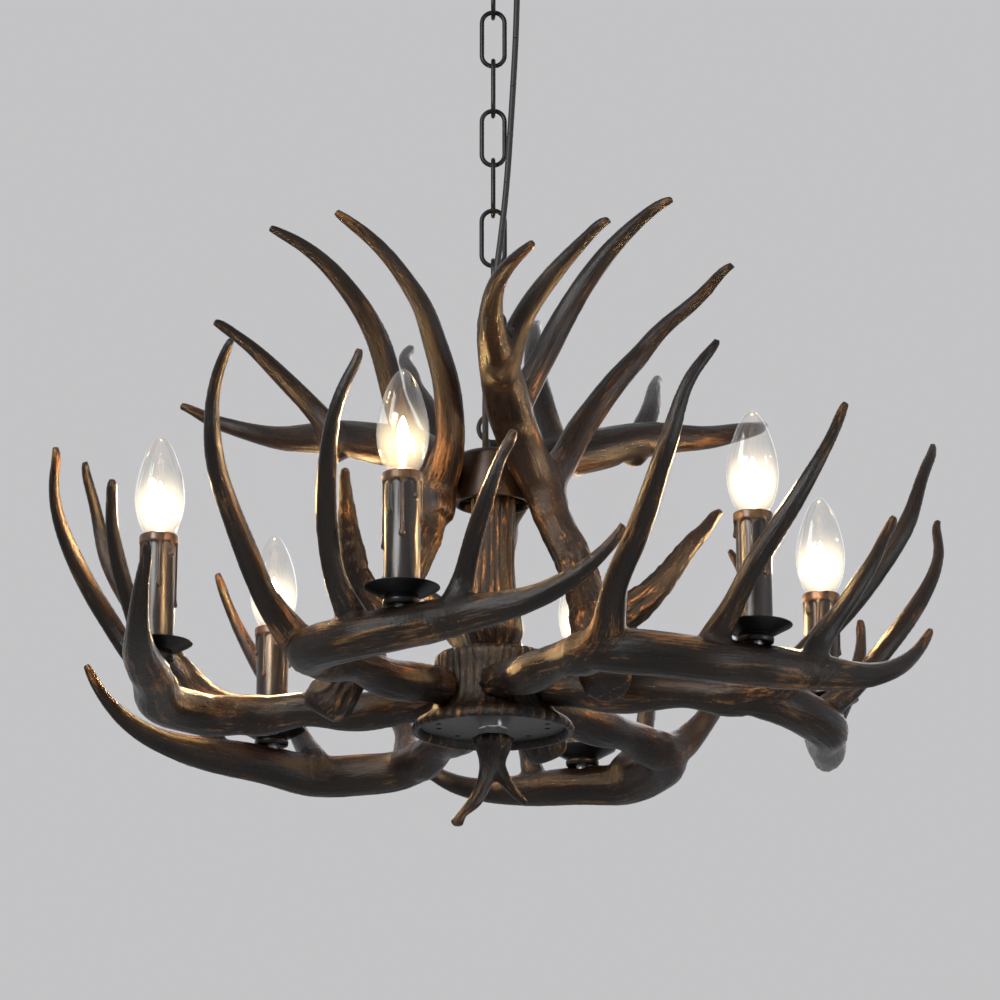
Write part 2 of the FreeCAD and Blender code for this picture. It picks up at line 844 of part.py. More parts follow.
def collar_screws(grow=0.0):
    """Screws through the collar's wall into the column's flange, heads outside."""
    wall = size(cell("collar_radius"))
    one = screw(
        size(cell("collar_screw_radius")) + grow,
        size(cell("collar_screw_length")),
        size(cell("collar_screw_head")),
        size(cell("collar_screw_radius")),
    )
    one.rotate(Vector(), UP, 180)
    one.translate(Vector(wall, 0, size(COLLAR_FOOT) + size(cell("collar_screw_rise"))))
    return spread(one, UPPER_ARMS, COLLAR_SCREW_ANGLE)


def bed_screws(grow=0.0):
    """Two screws for each upper antler, from inside the collar's wall."""
    inside = size("Sizes.collar_radius - Sizes.collar_wall")
    length = size("Sizes.bed_screw_length + Sizes.collar_wall")
    found = []
    for angle in UPPER_BED_ANGLES:
        one = screw(
            size(cell("bed_screw_radius")) + grow,
            length,
            size(cell("bed_screw_head_radius")),
            size(cell("bed_screw_head_height")),
        )
        one.translate(Vector(inside, 0, size(UPPER_SEAT) + BED_SCREW_RISE))
        found += spread(one, UPPER_ARMS, angle)
    return found


def arm_bolts(grow=0.0):
    """One bolt for each lower antler, from inside the hub's wall."""
    inside = size("Sizes.hub_waist_radius - Sizes.hub_wall")
    one = screw(
        size(cell("bolt_radius")) + grow,
        size("Sizes.bolt_length + Sizes.hub_wall"),
        size(cell("bolt_head_radius")),
        size(cell("bolt_head_height")),
    )
    one.translate(Vector(inside, 0, size(HUB_SEAT)))
    return spread(one, LOWER_ARMS, LOWER_BOLT_ANGLE)


# ----------------------------------------------------------------------------------------- hub


def make_hub():
    """The hollow drum that the lower antlers are bolted to.

    Its foot flares into a rim that hides the edge of the plate, which seats on a ledge inside.
    """
    wall = cell("hub_wall")
    waist = cell("hub_waist_radius")
    tall = cell("hub_height")
    rim = cell("hub_flare_radius")
    flare = f"({rim} - {waist})"
    recess = "(Sizes.plate_radius + Sizes.plate_clearance)"
    plate_foot = f"-{tall} + Sizes.plate_recess"
    ledge = f"{plate_foot} + Sizes.plate_thickness"
    return revolved(
        "hub_body",
        [
            (BORE, "0"),
            (f"{waist} - 5", "0"),
            (f"{waist} + 1.5", "-4"),
            (waist, f"-{tall} * 0.33"),
            (f"{waist} + 1", f"-{tall} * 0.62"),
            (f"{waist} + {flare} * 0.28", f"-{tall} * 0.75"),
            (f"{waist} + {flare} * 0.82", ledge),
            (rim, f"-{tall} * 0.93"),
            (rim, f"-{tall} + 1"),
            (f"{rim} - 1.5", f"-{tall}"),
            (f"{rim} - Sizes.hub_rim", f"-{tall}"),
            (recess, plate_foot),
            (recess, ledge),
            (f"{recess} - Sizes.plate_ledge", ledge),
            (f"{waist} - {wall}", f"-{tall} * 0.7"),
            (f"{waist} - {wall}", f"-{wall}"),
            (BORE, f"-{wall}"),
        ],
        HUB_TOP,
    )


def make_plate():
    """The round plate that closes the hub's foot, with six pairs of small holes."""

    def draw(sketch):
        add_circle(sketch, "0", "0", cell("plate_radius"))
        add_circle(sketch, "0", "0", BORE)

    plate = padded("hub_plate", draw, cell("plate_thickness"), PLATE_FOOT)
    vents = []
    for side in (-1, 1):
        across = f"{side} * Sizes.vent_spread / 2"
        vents.append((cell("vent_ring_radius"), across, cell("vent_radius")))
    cut_holes(plate, "XY_Plane", "plate_vents", vents, True, LOWER_ARMS)
    return keep(plate)


def make_stem():
    """The threaded pipe that holds loop, collar, column, hub, plate, nut and finial together."""

    def draw(sketch):
        add_circle(sketch, "0", "0", cell("pipe_radius"))
        add_circle(sketch, "0", "0", cell("pipe_bore"))

    return keep(padded("stem_pipe", draw, f"{STEM_TOP} - {STEM_FOOT}", STEM_FOOT))


def make_washer():
    def draw(sketch):
        add_circle(sketch, "0", "0", cell("washer_radius"))
        add_circle(sketch, "0", "0", BORE)

    return keep(padded("stem_washer", draw, cell("washer_thickness"), NUT_TOP))


def make_finial():
    """The forked stub of antler under the hub, screwed on the stem's end."""
    shape = casting(FINIAL_CASTING)
    bore = Part.makeCylinder(size(BORE), size("Sizes.finial_bore_depth + 1"), Vector(), -UP)
    finial = doc.addObject("Part::Feature", "finial")
    finial.Shape = shape.cut(bore)
    finial.Placement = Placement(Vector(0, 0, size(FINIAL_TOP)), Rotation())
    return keep(finial)


# --------------------------------------------------------------------------------------- arms


def lower_placement(number):
    """Where a lower antler's casting goes: set about its seat, then turned round the axis."""
    turn, droop, lean = LOWER_SETTING[number]
    seat = LOWER_SEAT
    outwards = Vector(LOWER_CANDLE.x, LOWER_CANDLE.y, 0).normalize()
    sideways = UP.cross(outwards)
    tilt = Rotation(outwards, lean).multiply(Rotation(sideways, droop))
    about_seat = Placement(Vector(), tilt, seat)
    step_out = LOWER_SEAT_WAY * (size(cell("hub_waist_radius")) - LOWER_LAID_FOR)
    carried = Placement(step_out + Vector(0, 0, size(HUB_SEAT)), Rotation())
    turned = Placement(Vector(), Rotation(UP, 360 / LOWER_ARMS * number + turn))
    return turned.multiply(carried).multiply(about_seat)


def candle_spot(number):
    """The middle of the flat seat cut for a candle's cup on a lower antler."""
    return lower_placement(number).multVec(LOWER_CANDLE)


# Tall enough to clear all that stands over a candle's seat.
SEAT_TOOL = 40


def seat_tools(spot):
    """What is cut from the beam for a candle: a level seat and the pipe's hole below it."""
    flat = Part.makeCylinder(size("Sizes.cup_radius + Sizes.seat_margin"), SEAT_TOOL, spot, UP)
    hole = Part.makeCylinder(size(BORE), size(cell("nipple_socket_depth")), spot, -UP)
    return [flat, hole]


def make_lower_antlers(hub_solid):
    master = casting(LOWER_CASTING)
    bolts = arm_bolts(size(cell("bolt_clearance")))
    for number in range(LOWER_ARMS):
        arm = master.copy()
        arm.Placement = lower_placement(number)
        seat = Part.makeCompound(seat_tools(candle_spot(number)))
        cut = arm.cut(seat).cut(hub_solid)
        for bolt in bolts:
            if cut.BoundBox.intersect(bolt.BoundBox):
                cut = cut.cut(bolt)
        antler = doc.addObject("Part::Feature", f"lower_antler_{number + 1}")
        antler.Shape = largest(cut)
        keep(antler)


def largest(shape):
    return max(shape.Solids, key=lambda solid: solid.Volume)


def make_upper_antlers():
    master = casting(UPPER_CASTING)
    step_out = UPPER_BED_WAY * (size(cell("collar_radius")) - UPPER_LAID_FOR)
    master.translate(step_out + Vector(0, 0, size(UPPER_SEAT)))
    collar_tool = Part.makeCylinder(
        size(cell("collar_radius")),
        size("Sizes.collar_height + Sizes.loop_neck_height"),
        Vector(0, 0, size(COLLAR_FOOT)),
        UP,
    )
    screws = bed_screws(size(cell("thread_clearance")))
    for number, turn in enumerate(UPPER_TURNS):
        arm = master.copy()
        arm.rotate(Vector(), UP, turn)
        cut = arm.cut(collar_tool)
        for one in screws:
            if cut.BoundBox.intersect(one.BoundBox):
                cut = cut.cut(one)
        antler = doc.addObject("Part::Feature", f"upper_antler_{number + 1}")
        antler.Shape = largest(cut)
        keep(antler)


# ------------------------------------------------------------------------------------- candles

SLEEVE_FOOT = "(Sizes.cup_height + Sizes.pan_thickness)"
GLASS_FOOT = f"({SLEEVE_FOOT} + Sizes.sleeve_height)"
SOCKET_TOP = f"({GLASS_FOOT} - Sizes.socket_recess)"
SOCKET_FOOT = f"({SOCKET_TOP} - Sizes.socket_height)"
SOCKET_BORE_DEPTH = "(Sizes.cap_height - Sizes.socket_recess + Sizes.running_gap)"


def turned_solid(points):
    """A solid turned about Z from an outline of radius and height pairs."""
    spots = [Vector(size(radius), 0, size(height)) for radius, height in points]
    face = Part.Face(Part.makePolygon(spots + spots[:1]))
    return face.revolve(Vector(), UP, 360)


def pan_solid():
    return turned_solid(
        [
            (BORE, "0"),
            ("Sizes.cup_radius - 1", "0"),
            (cell("cup_radius"), "Sizes.cup_height * 0.3"),
            (cell("cup_radius"), "Sizes.cup_height * 0.6"),
            ("Sizes.cup_radius - 1.2", "Sizes.cup_height * 0.88"),
            ("Sizes.cup_radius + 1", cell("cup_height")),
            (cell("pan_radius"), "Sizes.cup_height + Sizes.pan_rim"),
            ("Sizes.pan_radius - 1", "Sizes.cup_height + Sizes.pan_rim + 0.8"),
            ("Sizes.cup_radius + 2.7", SLEEVE_FOOT),
            (BORE, SLEEVE_FOOT),
        ]
    )


def sleeve_solid():
    """A candle tube with a thick rim, where its wax has run over."""
    drip_foot = f"{GLASS_FOOT} - Sizes.drip_length"
    return turned_solid(
        [
            (cell("sleeve_bore"), SLEEVE_FOOT),
            (cell("sleeve_radius"), SLEEVE_FOOT),
            (cell("sleeve_radius"), f"{drip_foot} - Sizes.drip_round"),
            (cell("drip_radius"), f"{drip_foot} + Sizes.drip_round"),
            (cell("drip_radius"), f"{GLASS_FOOT} - Sizes.drip_round"),
            ("Sizes.drip_radius - Sizes.drip_round", GLASS_FOOT),
            (cell("sleeve_bore"), GLASS_FOOT),
        ]
    )


def socket_solid():
    floor = f"({SOCKET_TOP} - {SOCKET_BORE_DEPTH})"
    return turned_solid(
        [
            (cell("socket_bore"), SOCKET_TOP),
            (cell("socket_radius"), SOCKET_TOP),
            (cell("socket_radius"), SOCKET_FOOT),
            (BORE, SOCKET_FOOT),
            (BORE, f"{floor} - Sizes.socket_floor"),
            ("0", f"{floor} - Sizes.socket_floor"),
            ("0", floor),
            (cell("socket_bore"), floor),
        ]
    )


def nipple_solid():
    top = size(f"{SOCKET_TOP} - {SOCKET_BORE_DEPTH} - Sizes.socket_floor")
    foot = -size(cell("nipple_socket_depth"))
    outer = Part.makeCylinder(size(cell("pipe_radius")), top - foot, Vector(0, 0, foot), UP)
    bore = Part.makeCylinder(size(cell("pipe_bore")), top - foot, Vector(0, 0, foot), UP)
    return outer.cut(bore)


def bulb_glass():
    """A clear torpedo-shaped envelope, closed round its neck in the cap."""
    tall = cell("bulb_height")
    fat = cell("bulb_radius")
    profile = [
        ("Sizes.bulb_neck", "-3"),
        ("Sizes.bulb_neck + 1.5", "0.3"),
        (f"{fat} * 0.66", f"{tall} * 0.05"),
        (f"{fat} * 0.82", f"{tall} * 0.13"),
        (f"{fat} * 0.94", f"{tall} * 0.23"),
        (fat, f"{tall} * 0.37"),
        (f"{fat} * 0.97", f"{tall} * 0.48"),
        (f"{fat} * 0.87", f"{tall} * 0.62"),
        (f"{fat} * 0.68", f"{tall} * 0.77"),
        (f"{fat} * 0.48", f"{tall} * 0.88"),
        (f"{fat} * 0.26", f"{tall} * 0.96"),
    ]
    outer = [(radius, height) for radius, height in profile] + [("0", tall)]
    inner = [("0", f"{tall} - Sizes.glass_wall * 1.6")]
    for radius, height in reversed(profile):
        inner.append((f"{radius} - Sizes.glass_wall", height))
    envelope = turned_solid(outer + inner)
    envelope.translate(Vector(0, 0, size(GLASS_FOOT)))
    return envelope


def bulb_cap():
    cap = turned_solid(
        [
            ("0", "-Sizes.cap_height"),
            ("Sizes.cap_radius * 0.45", "-Sizes.cap_height"),
            (cell("cap_radius"), "-Sizes.cap_height + 5"),
            (cell("cap_radius"), "0"),
            (cell("bulb_neck"), "0"),
            (cell("bulb_neck"), "-3"),
            ("0", "-3"),
        ]
    )
    cap.translate(Vector(0, 0, size(GLASS_FOOT)))
    return cap


def bulb_stem():
    """The glass stem in the bulb, with its filament's posts, standing in the cap."""
    stem = turned_solid(
        [
            ("0", "-3"),
            (cell("stem_glass_radius"), "-3"),
            ("Sizes.stem_glass_radius * 0.6", cell("stem_glass_height")),
            ("0", cell("stem_glass_height")),
        ]
    )
    posts = []
    for side in (-1, 1):
        post = Part.makeCylinder(0.5, 24, Vector(side * 0.9, 0, size("Sizes.stem_glass_height - 3")))
        post.rotate(Vector(0, 0, size(cell("stem_glass_height"))), Vector(0, 1, 0), 9 * side)
        posts.append(post)
    whole = stem.multiFuse(posts)
    whole.translate(Vector(0, 0, size(GLASS_FOOT)))
    return whole


def make_candles():
    pan = pan_solid()
    sleeve = sleeve_solid()
    bulb = Part.makeCompound([bulb_glass(), bulb_cap(), bulb_stem()])
    sockets = []
    nipples = []
    for number in range(LOWER_ARMS):
        spot = candle_spot(number)
        for name, shape in (("drip_pan", pan), ("candle_sleeve", sleeve), ("bulb", bulb)):
            feature = doc.addObject("Part::Feature", f"{name}_{number + 1}")
            feature.Shape = shape.copy()
            feature.Placement = Placement(spot, Rotation())
            keep(feature)
        for solids, shape in ((sockets, socket_solid()), (nipples, nipple_solid())):
            shape.translate(spot)
            solids.append(shape)
        print("candle", number + 1, "seat", [round(v, 3) for v in spot])
    group("lamp_sockets", sockets)
    group("candle_nipples", nipples)


# -------------------------------------------------------------------------------- the whole part


def build():
    make_strap()
    make_canopy()
    make_canopy_pipe()
    lock_nut_across = f"Sizes.lock_nut_radius * {math.sqrt(3):.6f}"
    lock_nut_foot = "-Sizes.strap_thickness - Sizes.lock_nut_height"
    make_nut("canopy_nut", lock_nut_across, cell("lock_nut_height"), lock_nut_foot)
    make_canopy_loop()
    make_cord_grip()
    make_terminal_block()
    for number in range(1, LINK_COUNT + 1):
        make_link(number)
    make_cord()
    make_collar_loop()
    collar = make_collar()
    column = make_column()
    hub = make_hub()
    make_plate()
    make_stem()
    make_washer()
    make_nut("stem_nut", cell("stem_nut_across"), cell("stem_nut_height"), FINIAL_TOP)
    make_finial()
    doc.recompute()

    screw_gap = size(cell("thread_clearance"))
    drilled("collar_cup", collar.Shape, collar_screws(screw_gap) + bed_screws(screw_gap))
    drilled("column_sleeve", column.Shape, collar_screws(screw_gap))
    drilled("hub_drum", hub.Shape, arm_bolts(size(cell("bolt_clearance"))))
    group("collar_screws", collar_screws())
    group("antler_screws", bed_screws())
    group("arm_bolts", arm_bolts())
    make_lower_antlers(hub.Shape)
    make_upper_antlers()
    make_candles()
    doc.recompute()


def check_and_write():
    for item in doc.Objects:
        if "Invalid" in item.State or "Error" in item.State:
            raise ValueError(f"{item.Label} failed: {item.State}")
    for label, piece in pieces.items():
        if piece.Shape.isNull() or not piece.Shape.isValid():
            raise ValueError(f"{label} has no valid shape")
    for label, piece in pieces.items():
        piece.Shape.exportStep(f"parts/{label}.step")
    print(len(pieces), "files")


build()
check_and_write()
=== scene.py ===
import math

import bmesh
import bpy
import numpy as np
from bpy.props import FloatProperty, FloatVectorProperty, IntProperty, PointerProperty
from mathutils import Matrix, Quaternion, Vector


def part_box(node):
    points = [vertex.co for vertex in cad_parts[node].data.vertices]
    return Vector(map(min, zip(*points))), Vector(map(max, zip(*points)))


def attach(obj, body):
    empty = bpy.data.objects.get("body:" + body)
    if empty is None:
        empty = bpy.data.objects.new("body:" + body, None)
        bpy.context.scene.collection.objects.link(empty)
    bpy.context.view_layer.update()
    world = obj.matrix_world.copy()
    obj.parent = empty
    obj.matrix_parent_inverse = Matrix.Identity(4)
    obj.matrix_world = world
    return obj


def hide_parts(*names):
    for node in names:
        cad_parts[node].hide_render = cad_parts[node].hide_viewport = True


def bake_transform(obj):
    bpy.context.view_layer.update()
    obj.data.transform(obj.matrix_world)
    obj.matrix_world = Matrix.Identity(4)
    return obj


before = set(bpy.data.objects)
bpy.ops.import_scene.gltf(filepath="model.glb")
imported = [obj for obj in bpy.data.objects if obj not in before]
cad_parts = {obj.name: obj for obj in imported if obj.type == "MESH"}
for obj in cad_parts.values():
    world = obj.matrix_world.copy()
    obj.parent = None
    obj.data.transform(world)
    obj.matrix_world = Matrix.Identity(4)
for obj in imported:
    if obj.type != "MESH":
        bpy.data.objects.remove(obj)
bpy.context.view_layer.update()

bl_info = {
    "name": "Antler Chandelier",
    "version": (1, 0, 0),
    "blender": (4, 5, 0),
    "location": "View3D > Sidebar > Chandelier",
    "description": "Builds the looks of an antler chandelier round its construction",
    "category": "Object",
}

MM = 0.001
UP = Vector((0, 0, 1))
ARMS = range(1, 7)
CROWNS = range(1, 4)
LINKS = range(1, 9)

# ------------------------------------------------------------------------- sizes and colours


def colour(name, text, value):
    return FloatVectorProperty(
        name=name, description=text, subtype="COLOR", size=3, min=0, max=1, default=value
    )


def length(name, text, value):
    return FloatProperty(name=name, description=text, unit="LENGTH", default=value, precision=5)


def number(name, text, value, subtype="NONE"):
    return FloatProperty(name=name, description=text, subtype=subtype, default=value)


class AntlerLook(bpy.types.PropertyGroup):
    """How the cast antlers are modelled and coloured."""

    fineness: length("Fineness", "Size of the cells that the antlers are modelled in", 0.0015)
    groove: length("Groove depth", "Depth of the long grooves along the beams", 0.0007)
    lump: length("Lump height", "Height of the slow swellings along the beams", 0.0007)
    bark: length("Bark depth", "Depth of the bark on the burrs and brow tines", 0.0026)
    soften: IntProperty(name="Softening", description="Passes that round off the forks", default=9)
    dark: colour("Dark", "Colour in the grooves", (0.0045, 0.0034, 0.0028))
    brown: colour("Brown", "Colour of the plain surface", (0.015, 0.0080, 0.0044))
    gold: colour("Gold", "Colour rubbed on the raised grain", (0.38, 0.190, 0.070))


class MetalLook(bpy.types.PropertyGroup):
    """Colours of the chain, pans, collar, plate and nut."""

    black: colour("Black metal", "Chain, loops, pans and canopy", (0.012, 0.012, 0.013))
    bronze: colour("Bronze", "Collar and candle sleeves", (0.017, 0.0095, 0.0058))
    plate: colour("Plate", "The plate under the hub", (0.035, 0.035, 0.037))
    bright: colour("Bright steel", "The nut and washer under the hub", (0.72, 0.73, 0.75))
    zinc: colour("Zinc", "Hidden pipes, bolts and nuts", (0.50, 0.50, 0.50))
    cord: colour("Cord", "The supply cord's sheath", (0.012, 0.012, 0.012))


class LampLook(bpy.types.PropertyGroup):
    """The bulbs and their light."""

    warm: colour("Warm white", "Colour of the bulbs' light", (1.0, 0.60, 0.26))
    haze: colour("Haze", "Colour of the glow on the glass", (1.0, 0.80, 0.50))
    glow: number("Glow", "Strength of a bulb's hot core", 850)


class StageLook(bpy.types.PropertyGroup):
    """The camera, the backdrop and the soft studio light."""

    distance: length("Camera distance", "From the axis to the camera, level", 2.8918)
    drop: length("Camera drop", "From the ceiling face down to the camera", 1.283)
    pitch: number("Pitch", "How far the camera looks up", 0.2868, "ANGLE")
    turn: number("Turn", "How far the camera looks right", 0.0017, "ANGLE")
    lens: number("Lens", "Focal length in millimetres", 152.93)
    floor_drop: length("Floor drop", "From the ceiling face down to the floor", 1.9)
    backdrop: colour("Backdrop", "The plain wall's colour behind the object", (0.55, 0.55, 0.56))
    sky: number("Sky", "Strength of the light from all round", 0.22)
    key: number("Key", "Power of the large soft lamp", 55)


GROUPS = (AntlerLook, MetalLook, LampLook, StageLook)


def short_name(group):
    """AntlerLook is kept on the scene as chandelier_antler, and asked for as antler."""
    return group.__name__.removesuffix("Look").lower()


def look(name):
    return getattr(bpy.context.scene, "chandelier_" + name)


# --------------------------------------------------------------------------- shader expressions


class Socket:
    """A shader socket that can be added, multiplied and compared as a number."""

    def __init__(self, finish, link):
        self.finish = finish
        self.link = link

    def maths(self, operation, *values):
        return self.finish.node("ShaderNodeMath", {"operation": operation}, list(values))[0]

    def __add__(self, other):
        return self.maths("ADD", self, other)

    def __sub__(self, other):
        return self.maths("SUBTRACT", self, other)

    def __rsub__(self, other):
        return self.maths("SUBTRACT", other, self)

    def __mul__(self, other):
        return self.maths("MULTIPLY", self, other)

    __radd__ = __add__
    __rmul__ = __mul__

    def __pow__(self, other):
        return self.maths("POWER", self, other)

    def between(self, low, high):
        """0 below low, 1 above high, smooth between."""
        settings = {"interpolation_type": "SMOOTHSTEP"}
        return self.finish.node("ShaderNodeMapRange", settings, [self, low, high])[0]


class Finish:
    """A material, or the world, that is built up from nodes."""

    def __init__(self, owner):
        self.owner = owner
        owner.use_nodes = True
        self.tree = owner.node_tree
        self.tree.nodes.clear()

    def node(self, kind, settings=None, values=None):
        """Adds a node and gives its outputs. Values go to sockets by order or by name."""
        made = self.tree.nodes.new(kind)
        for key, value in (settings or {}).items():
            setattr(made, key, value)
        pairs = values.items() if isinstance(values, dict) else enumerate(values or [])
        for key, value in pairs:
            if isinstance(value, Socket):
                self.tree.links.new(value.link, made.inputs[key])
            else:
                made.inputs[key].default_value = value
        return [Socket(self, output) for output in made.outputs]

    def attribute(self, name):
        """What a mesh keeps for its points: as a vector and as a number."""
        outputs = self.node("ShaderNodeAttribute", {"attribute_name": name})
        return outputs[1], outputs[2]

    def stretched(self, vector, scale):
        return self.node("ShaderNodeVectorMath", {"operation": "MULTIPLY"}, [vector, scale])[0]

    def noise(self, vector, scale, detail, roughness):
        values = {"Vector": vector, "Scale": scale, "Detail": detail, "Roughness": roughness}
        return self.node("ShaderNodeTexNoise", None, values)[0]

    def blend(self, factor, first, second):
        """Mixes two colours."""
        values = {0: factor, 6: first, 7: second}
        return self.node("ShaderNodeMix", {"data_type": "RGBA"}, values)[2]

    def bump(self, height, depth, strength):
        values = {"Strength": strength, "Distance": depth, "Height": height}
        return self.node("ShaderNodeBump", None, values)[0]

    def paint(self, **values):
        """A plain Principled surface; keywords name its sockets, with _ for a space."""
        named = {key.replace("_", " "): value for key, value in values.items()}
        return self.node("ShaderNodeBsdfPrincipled", None, named)[0]

    def shader(self, kind, *values):
        return self.node("ShaderNode" + kind, None, list(values))[0]

    def show(self, surface, output="ShaderNodeOutputMaterial"):
        self.node(output, None, {"Surface": surface})
        return self.owner


def new_finish(name):
    return Finish(bpy.data.materials.new(name))


def rgba(value):
    return (*value, 1.0)


def spot_vector(finish):
    """The point on the object, in metres."""
    return finish.node("ShaderNodeTexCoord")[3]


def antler_finish():
    """Dark cast resin with golden bronze rubbed on its raised grain, its tips and its bark."""
    use = look("antler")
    finish = new_finish("antler_resin")
    straight = finish.attribute("straight")[0]
    relief = finish.attribute("relief")[1]
    bark = finish.attribute("bark")[1]
    tip = finish.attribute("tip")[1]
    spot = spot_vector(finish)
    streaks = finish.noise(finish.stretched(straight, (55, 620, 620)), 1, 5, 0.65)
    broad = finish.noise(finish.stretched(straight, (16, 130, 130)), 1, 3, 0.5)
    knobs = finish.noise(finish.stretched(straight, (170, 460, 460)), 1, 4, 0.6)
    cloud = finish.noise(spot, 17, 3, 0.5)
    flecks = finish.noise(spot, 480, 3, 0.7)
    grained = relief * 0.80 + streaks * 0.95 + broad * 0.30 + cloud * 0.60 + flecks * 0.20
    wear = grained + tip * 0.20 + (knobs - 0.5) * bark * 1.2
    rubbed = wear.between(1.58, 2.05) * (0.80 + bark * 0.20)
    depth = (broad * 0.6 + relief * 0.6).between(0.35, 0.85)
    shade = finish.blend(depth, rgba(use.dark), rgba(use.brown))
    height = streaks * 0.9 + flecks * 0.25 + broad * 0.35 + knobs * bark * 2.2
    surface = finish.paint(
        Base_Color=finish.blend(rubbed, shade, rgba(use.gold)),
        Metallic=rubbed * 0.45,
        Roughness=0.20 + streaks * 0.18 + bark * 0.12 + rubbed * 0.08,
        Specular_IOR_Level=0.3,
        Normal=finish.bump(height, 0.0007, 0.9),
    )
    return finish.show(surface)


def metal_finish(name, tone, metallic, roughness, grain=0.06):
    """A painted or plated metal with slight unevenness."""
    finish = new_finish(name)
    spot = spot_vector(finish)
    cloud = finish.noise(spot, 60, 4, 0.6)
    fleck = finish.noise(spot, 900, 3, 0.6)
    lighter = [min(1, channel * 1.6 + 0.004) for channel in tone]
    surface = finish.paint(
        Base_Color=finish.blend(cloud.between(0.35, 0.75), rgba(tone), rgba(lighter)),
        Metallic=metallic,
        Roughness=roughness + cloud * grain + fleck * grain,
        Normal=finish.bump(fleck, 0.0001, 0.5),
    )
    return finish.show(surface)


def rubber_finish(name, tone):
    finish = new_finish(name)
    fleck = finish.noise(spot_vector(finish), 700, 3, 0.6)
    surface = finish.paint(
        Base_Color=finish.blend(fleck.between(0.3, 0.8), rgba(tone), rgba([c * 1.8 for c in tone])),
        Roughness=0.42 + fleck * 0.12,
        Normal=finish.bump(fleck, 0.00008, 0.4),
    )
    return finish.show(surface)


def candle_finish():
    """Dark bronze candle sleeves, worn to gold on the ridges between their runs."""
    use = look("antler")
    finish = new_finish("candle_bronze")
    relief = finish.attribute("relief")[1]
    spot = spot_vector(finish)
    cloud = finish.noise(finish.stretched(spot, (1, 1, 0.35)), 150, 4, 0.6)
    fleck = finish.noise(spot, 600, 3, 0.65)
    rubbed = (relief * 0.25 + cloud * 0.80 + fleck * 0.30).between(0.55, 1.05)
    shade = finish.blend(cloud, rgba(use.dark), rgba(look("metal").bronze))
    surface = finish.paint(
        Base_Color=finish.blend(rubbed * 0.55, shade, rgba(use.gold)),
        Metallic=rubbed * 0.5,
        Roughness=0.26 + cloud * 0.2,
        Coat_Weight=0.3,
        Coat_Roughness=0.2,
        Normal=finish.bump(cloud * 0.5 + fleck * 0.4, 0.0005, 0.6),
    )
    return finish.show(surface)


def glass_finish():
    """Clear thin glass that mirrors more towards its edges, hazed by the glow inside it."""
    finish = new_finish("clear_glass")
    halo = finish.attribute("halo")[1]
    edge = finish.node("ShaderNodeLayerWeight", None, {"Blend": 0.22})[1]
    through = finish.shader("BsdfTransparent", (1, 0.99, 0.97, 1))
    gloss = finish.paint(Base_Color=(0.95, 0.95, 0.95, 1), Metallic=1.0, Roughness=0.02)
    haze = finish.shader("Emission", rgba(look("lamp").haze), 1.0)
    lit = finish.shader("AddShader", through, haze)
    clear = finish.shader("MixShader", edge * 0.55 + 0.05, through, gloss)
    return finish.show(finish.shader("MixShader", halo * (1 - edge) ** 3, clear, lit))


def glow_finish():
    use = look("lamp")
    finish = new_finish("hot_core")
    return finish.show(finish.shader("Emission", rgba(use.warm), use.glow))


# ------------------------------------------------------------------------------- mesh tools


def as_object(name, mesh, material):
    piece = bpy.data.objects.new(name, mesh)
    bpy.context.collection.objects.link(piece)
    mesh.shade_smooth()
    mesh.materials.clear()
    mesh.materials.append(material)
    return piece


def dress(piece, node, body):
    """Puts a piece in a node's place, on the body that carries it."""
    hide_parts(node)
    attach(piece, body)


def through(points, per_span):
    """A smooth row of points through given points, of any number of columns."""
    points = np.array(points, float)
    ends = np.vstack([2 * points[0] - points[1], points, 2 * points[-1] - points[-2]])
    rows = []
    share = np.linspace(0, 1, per_span, endpoint=False)[:, None]
    for before, start, end, after in zip(ends, ends[1:], ends[2:], ends[3:]):
        a = 2 * start
        b = end - before
        c = 2 * before - 5 * start + 4 * end - after
        d = -before + 3 * start - 3 * end + after
        rows.append(0.5 * (a + b * share + c * share**2 + d * share**3))
    return np.vstack(rows + [points[-1:]])


def grid_mesh(name, rings, closed_rings=False):
    """A skin over rings of points, with flat ends unless the last ring joins the first."""
    rings = np.array(rings)
    count, around = rings.shape[:2]
    verts = rings.reshape(-1, 3)
    faces = []
    last = count if closed_rings else count - 1
    for row in range(last):
        here = row * around
        above = (row + 1) % count * around
        for step in range(around):
            beyond = (step + 1) % around
            faces.append((here + step, here + beyond, above + beyond, above + step))
    if not closed_rings:
        faces.append(tuple(reversed(range(around))))
        faces.append(tuple((count - 1) * around + step for step in range(around)))
    mesh = bpy.data.meshes.new(name)
    mesh.from_pydata(verts.tolist(), [], faces)
    return mesh


def angles_round(count):
    return np.linspace(0, 2 * math.pi, count, endpoint=False)


def lathe_rings(profile, around):
    """Rings of points for a profile of radius and height pairs."""
    angles = angles_round(around)
    rings = []
    for r, z in profile:
        rings.append(np.stack([r * np.cos(angles), r * np.sin(angles), np.full(around, z)], axis=1))
    return np.array(rings)


def lathe(name, profile, material, spot=(0, 0, 0)):
    """A turned piece from a closed profile of radius and height pairs, in millimetres."""
    rings = lathe_rings(np.array(profile) * MM, 96) + np.array(spot)
    return as_object(name, grid_mesh(name, rings, closed_rings=True), material)


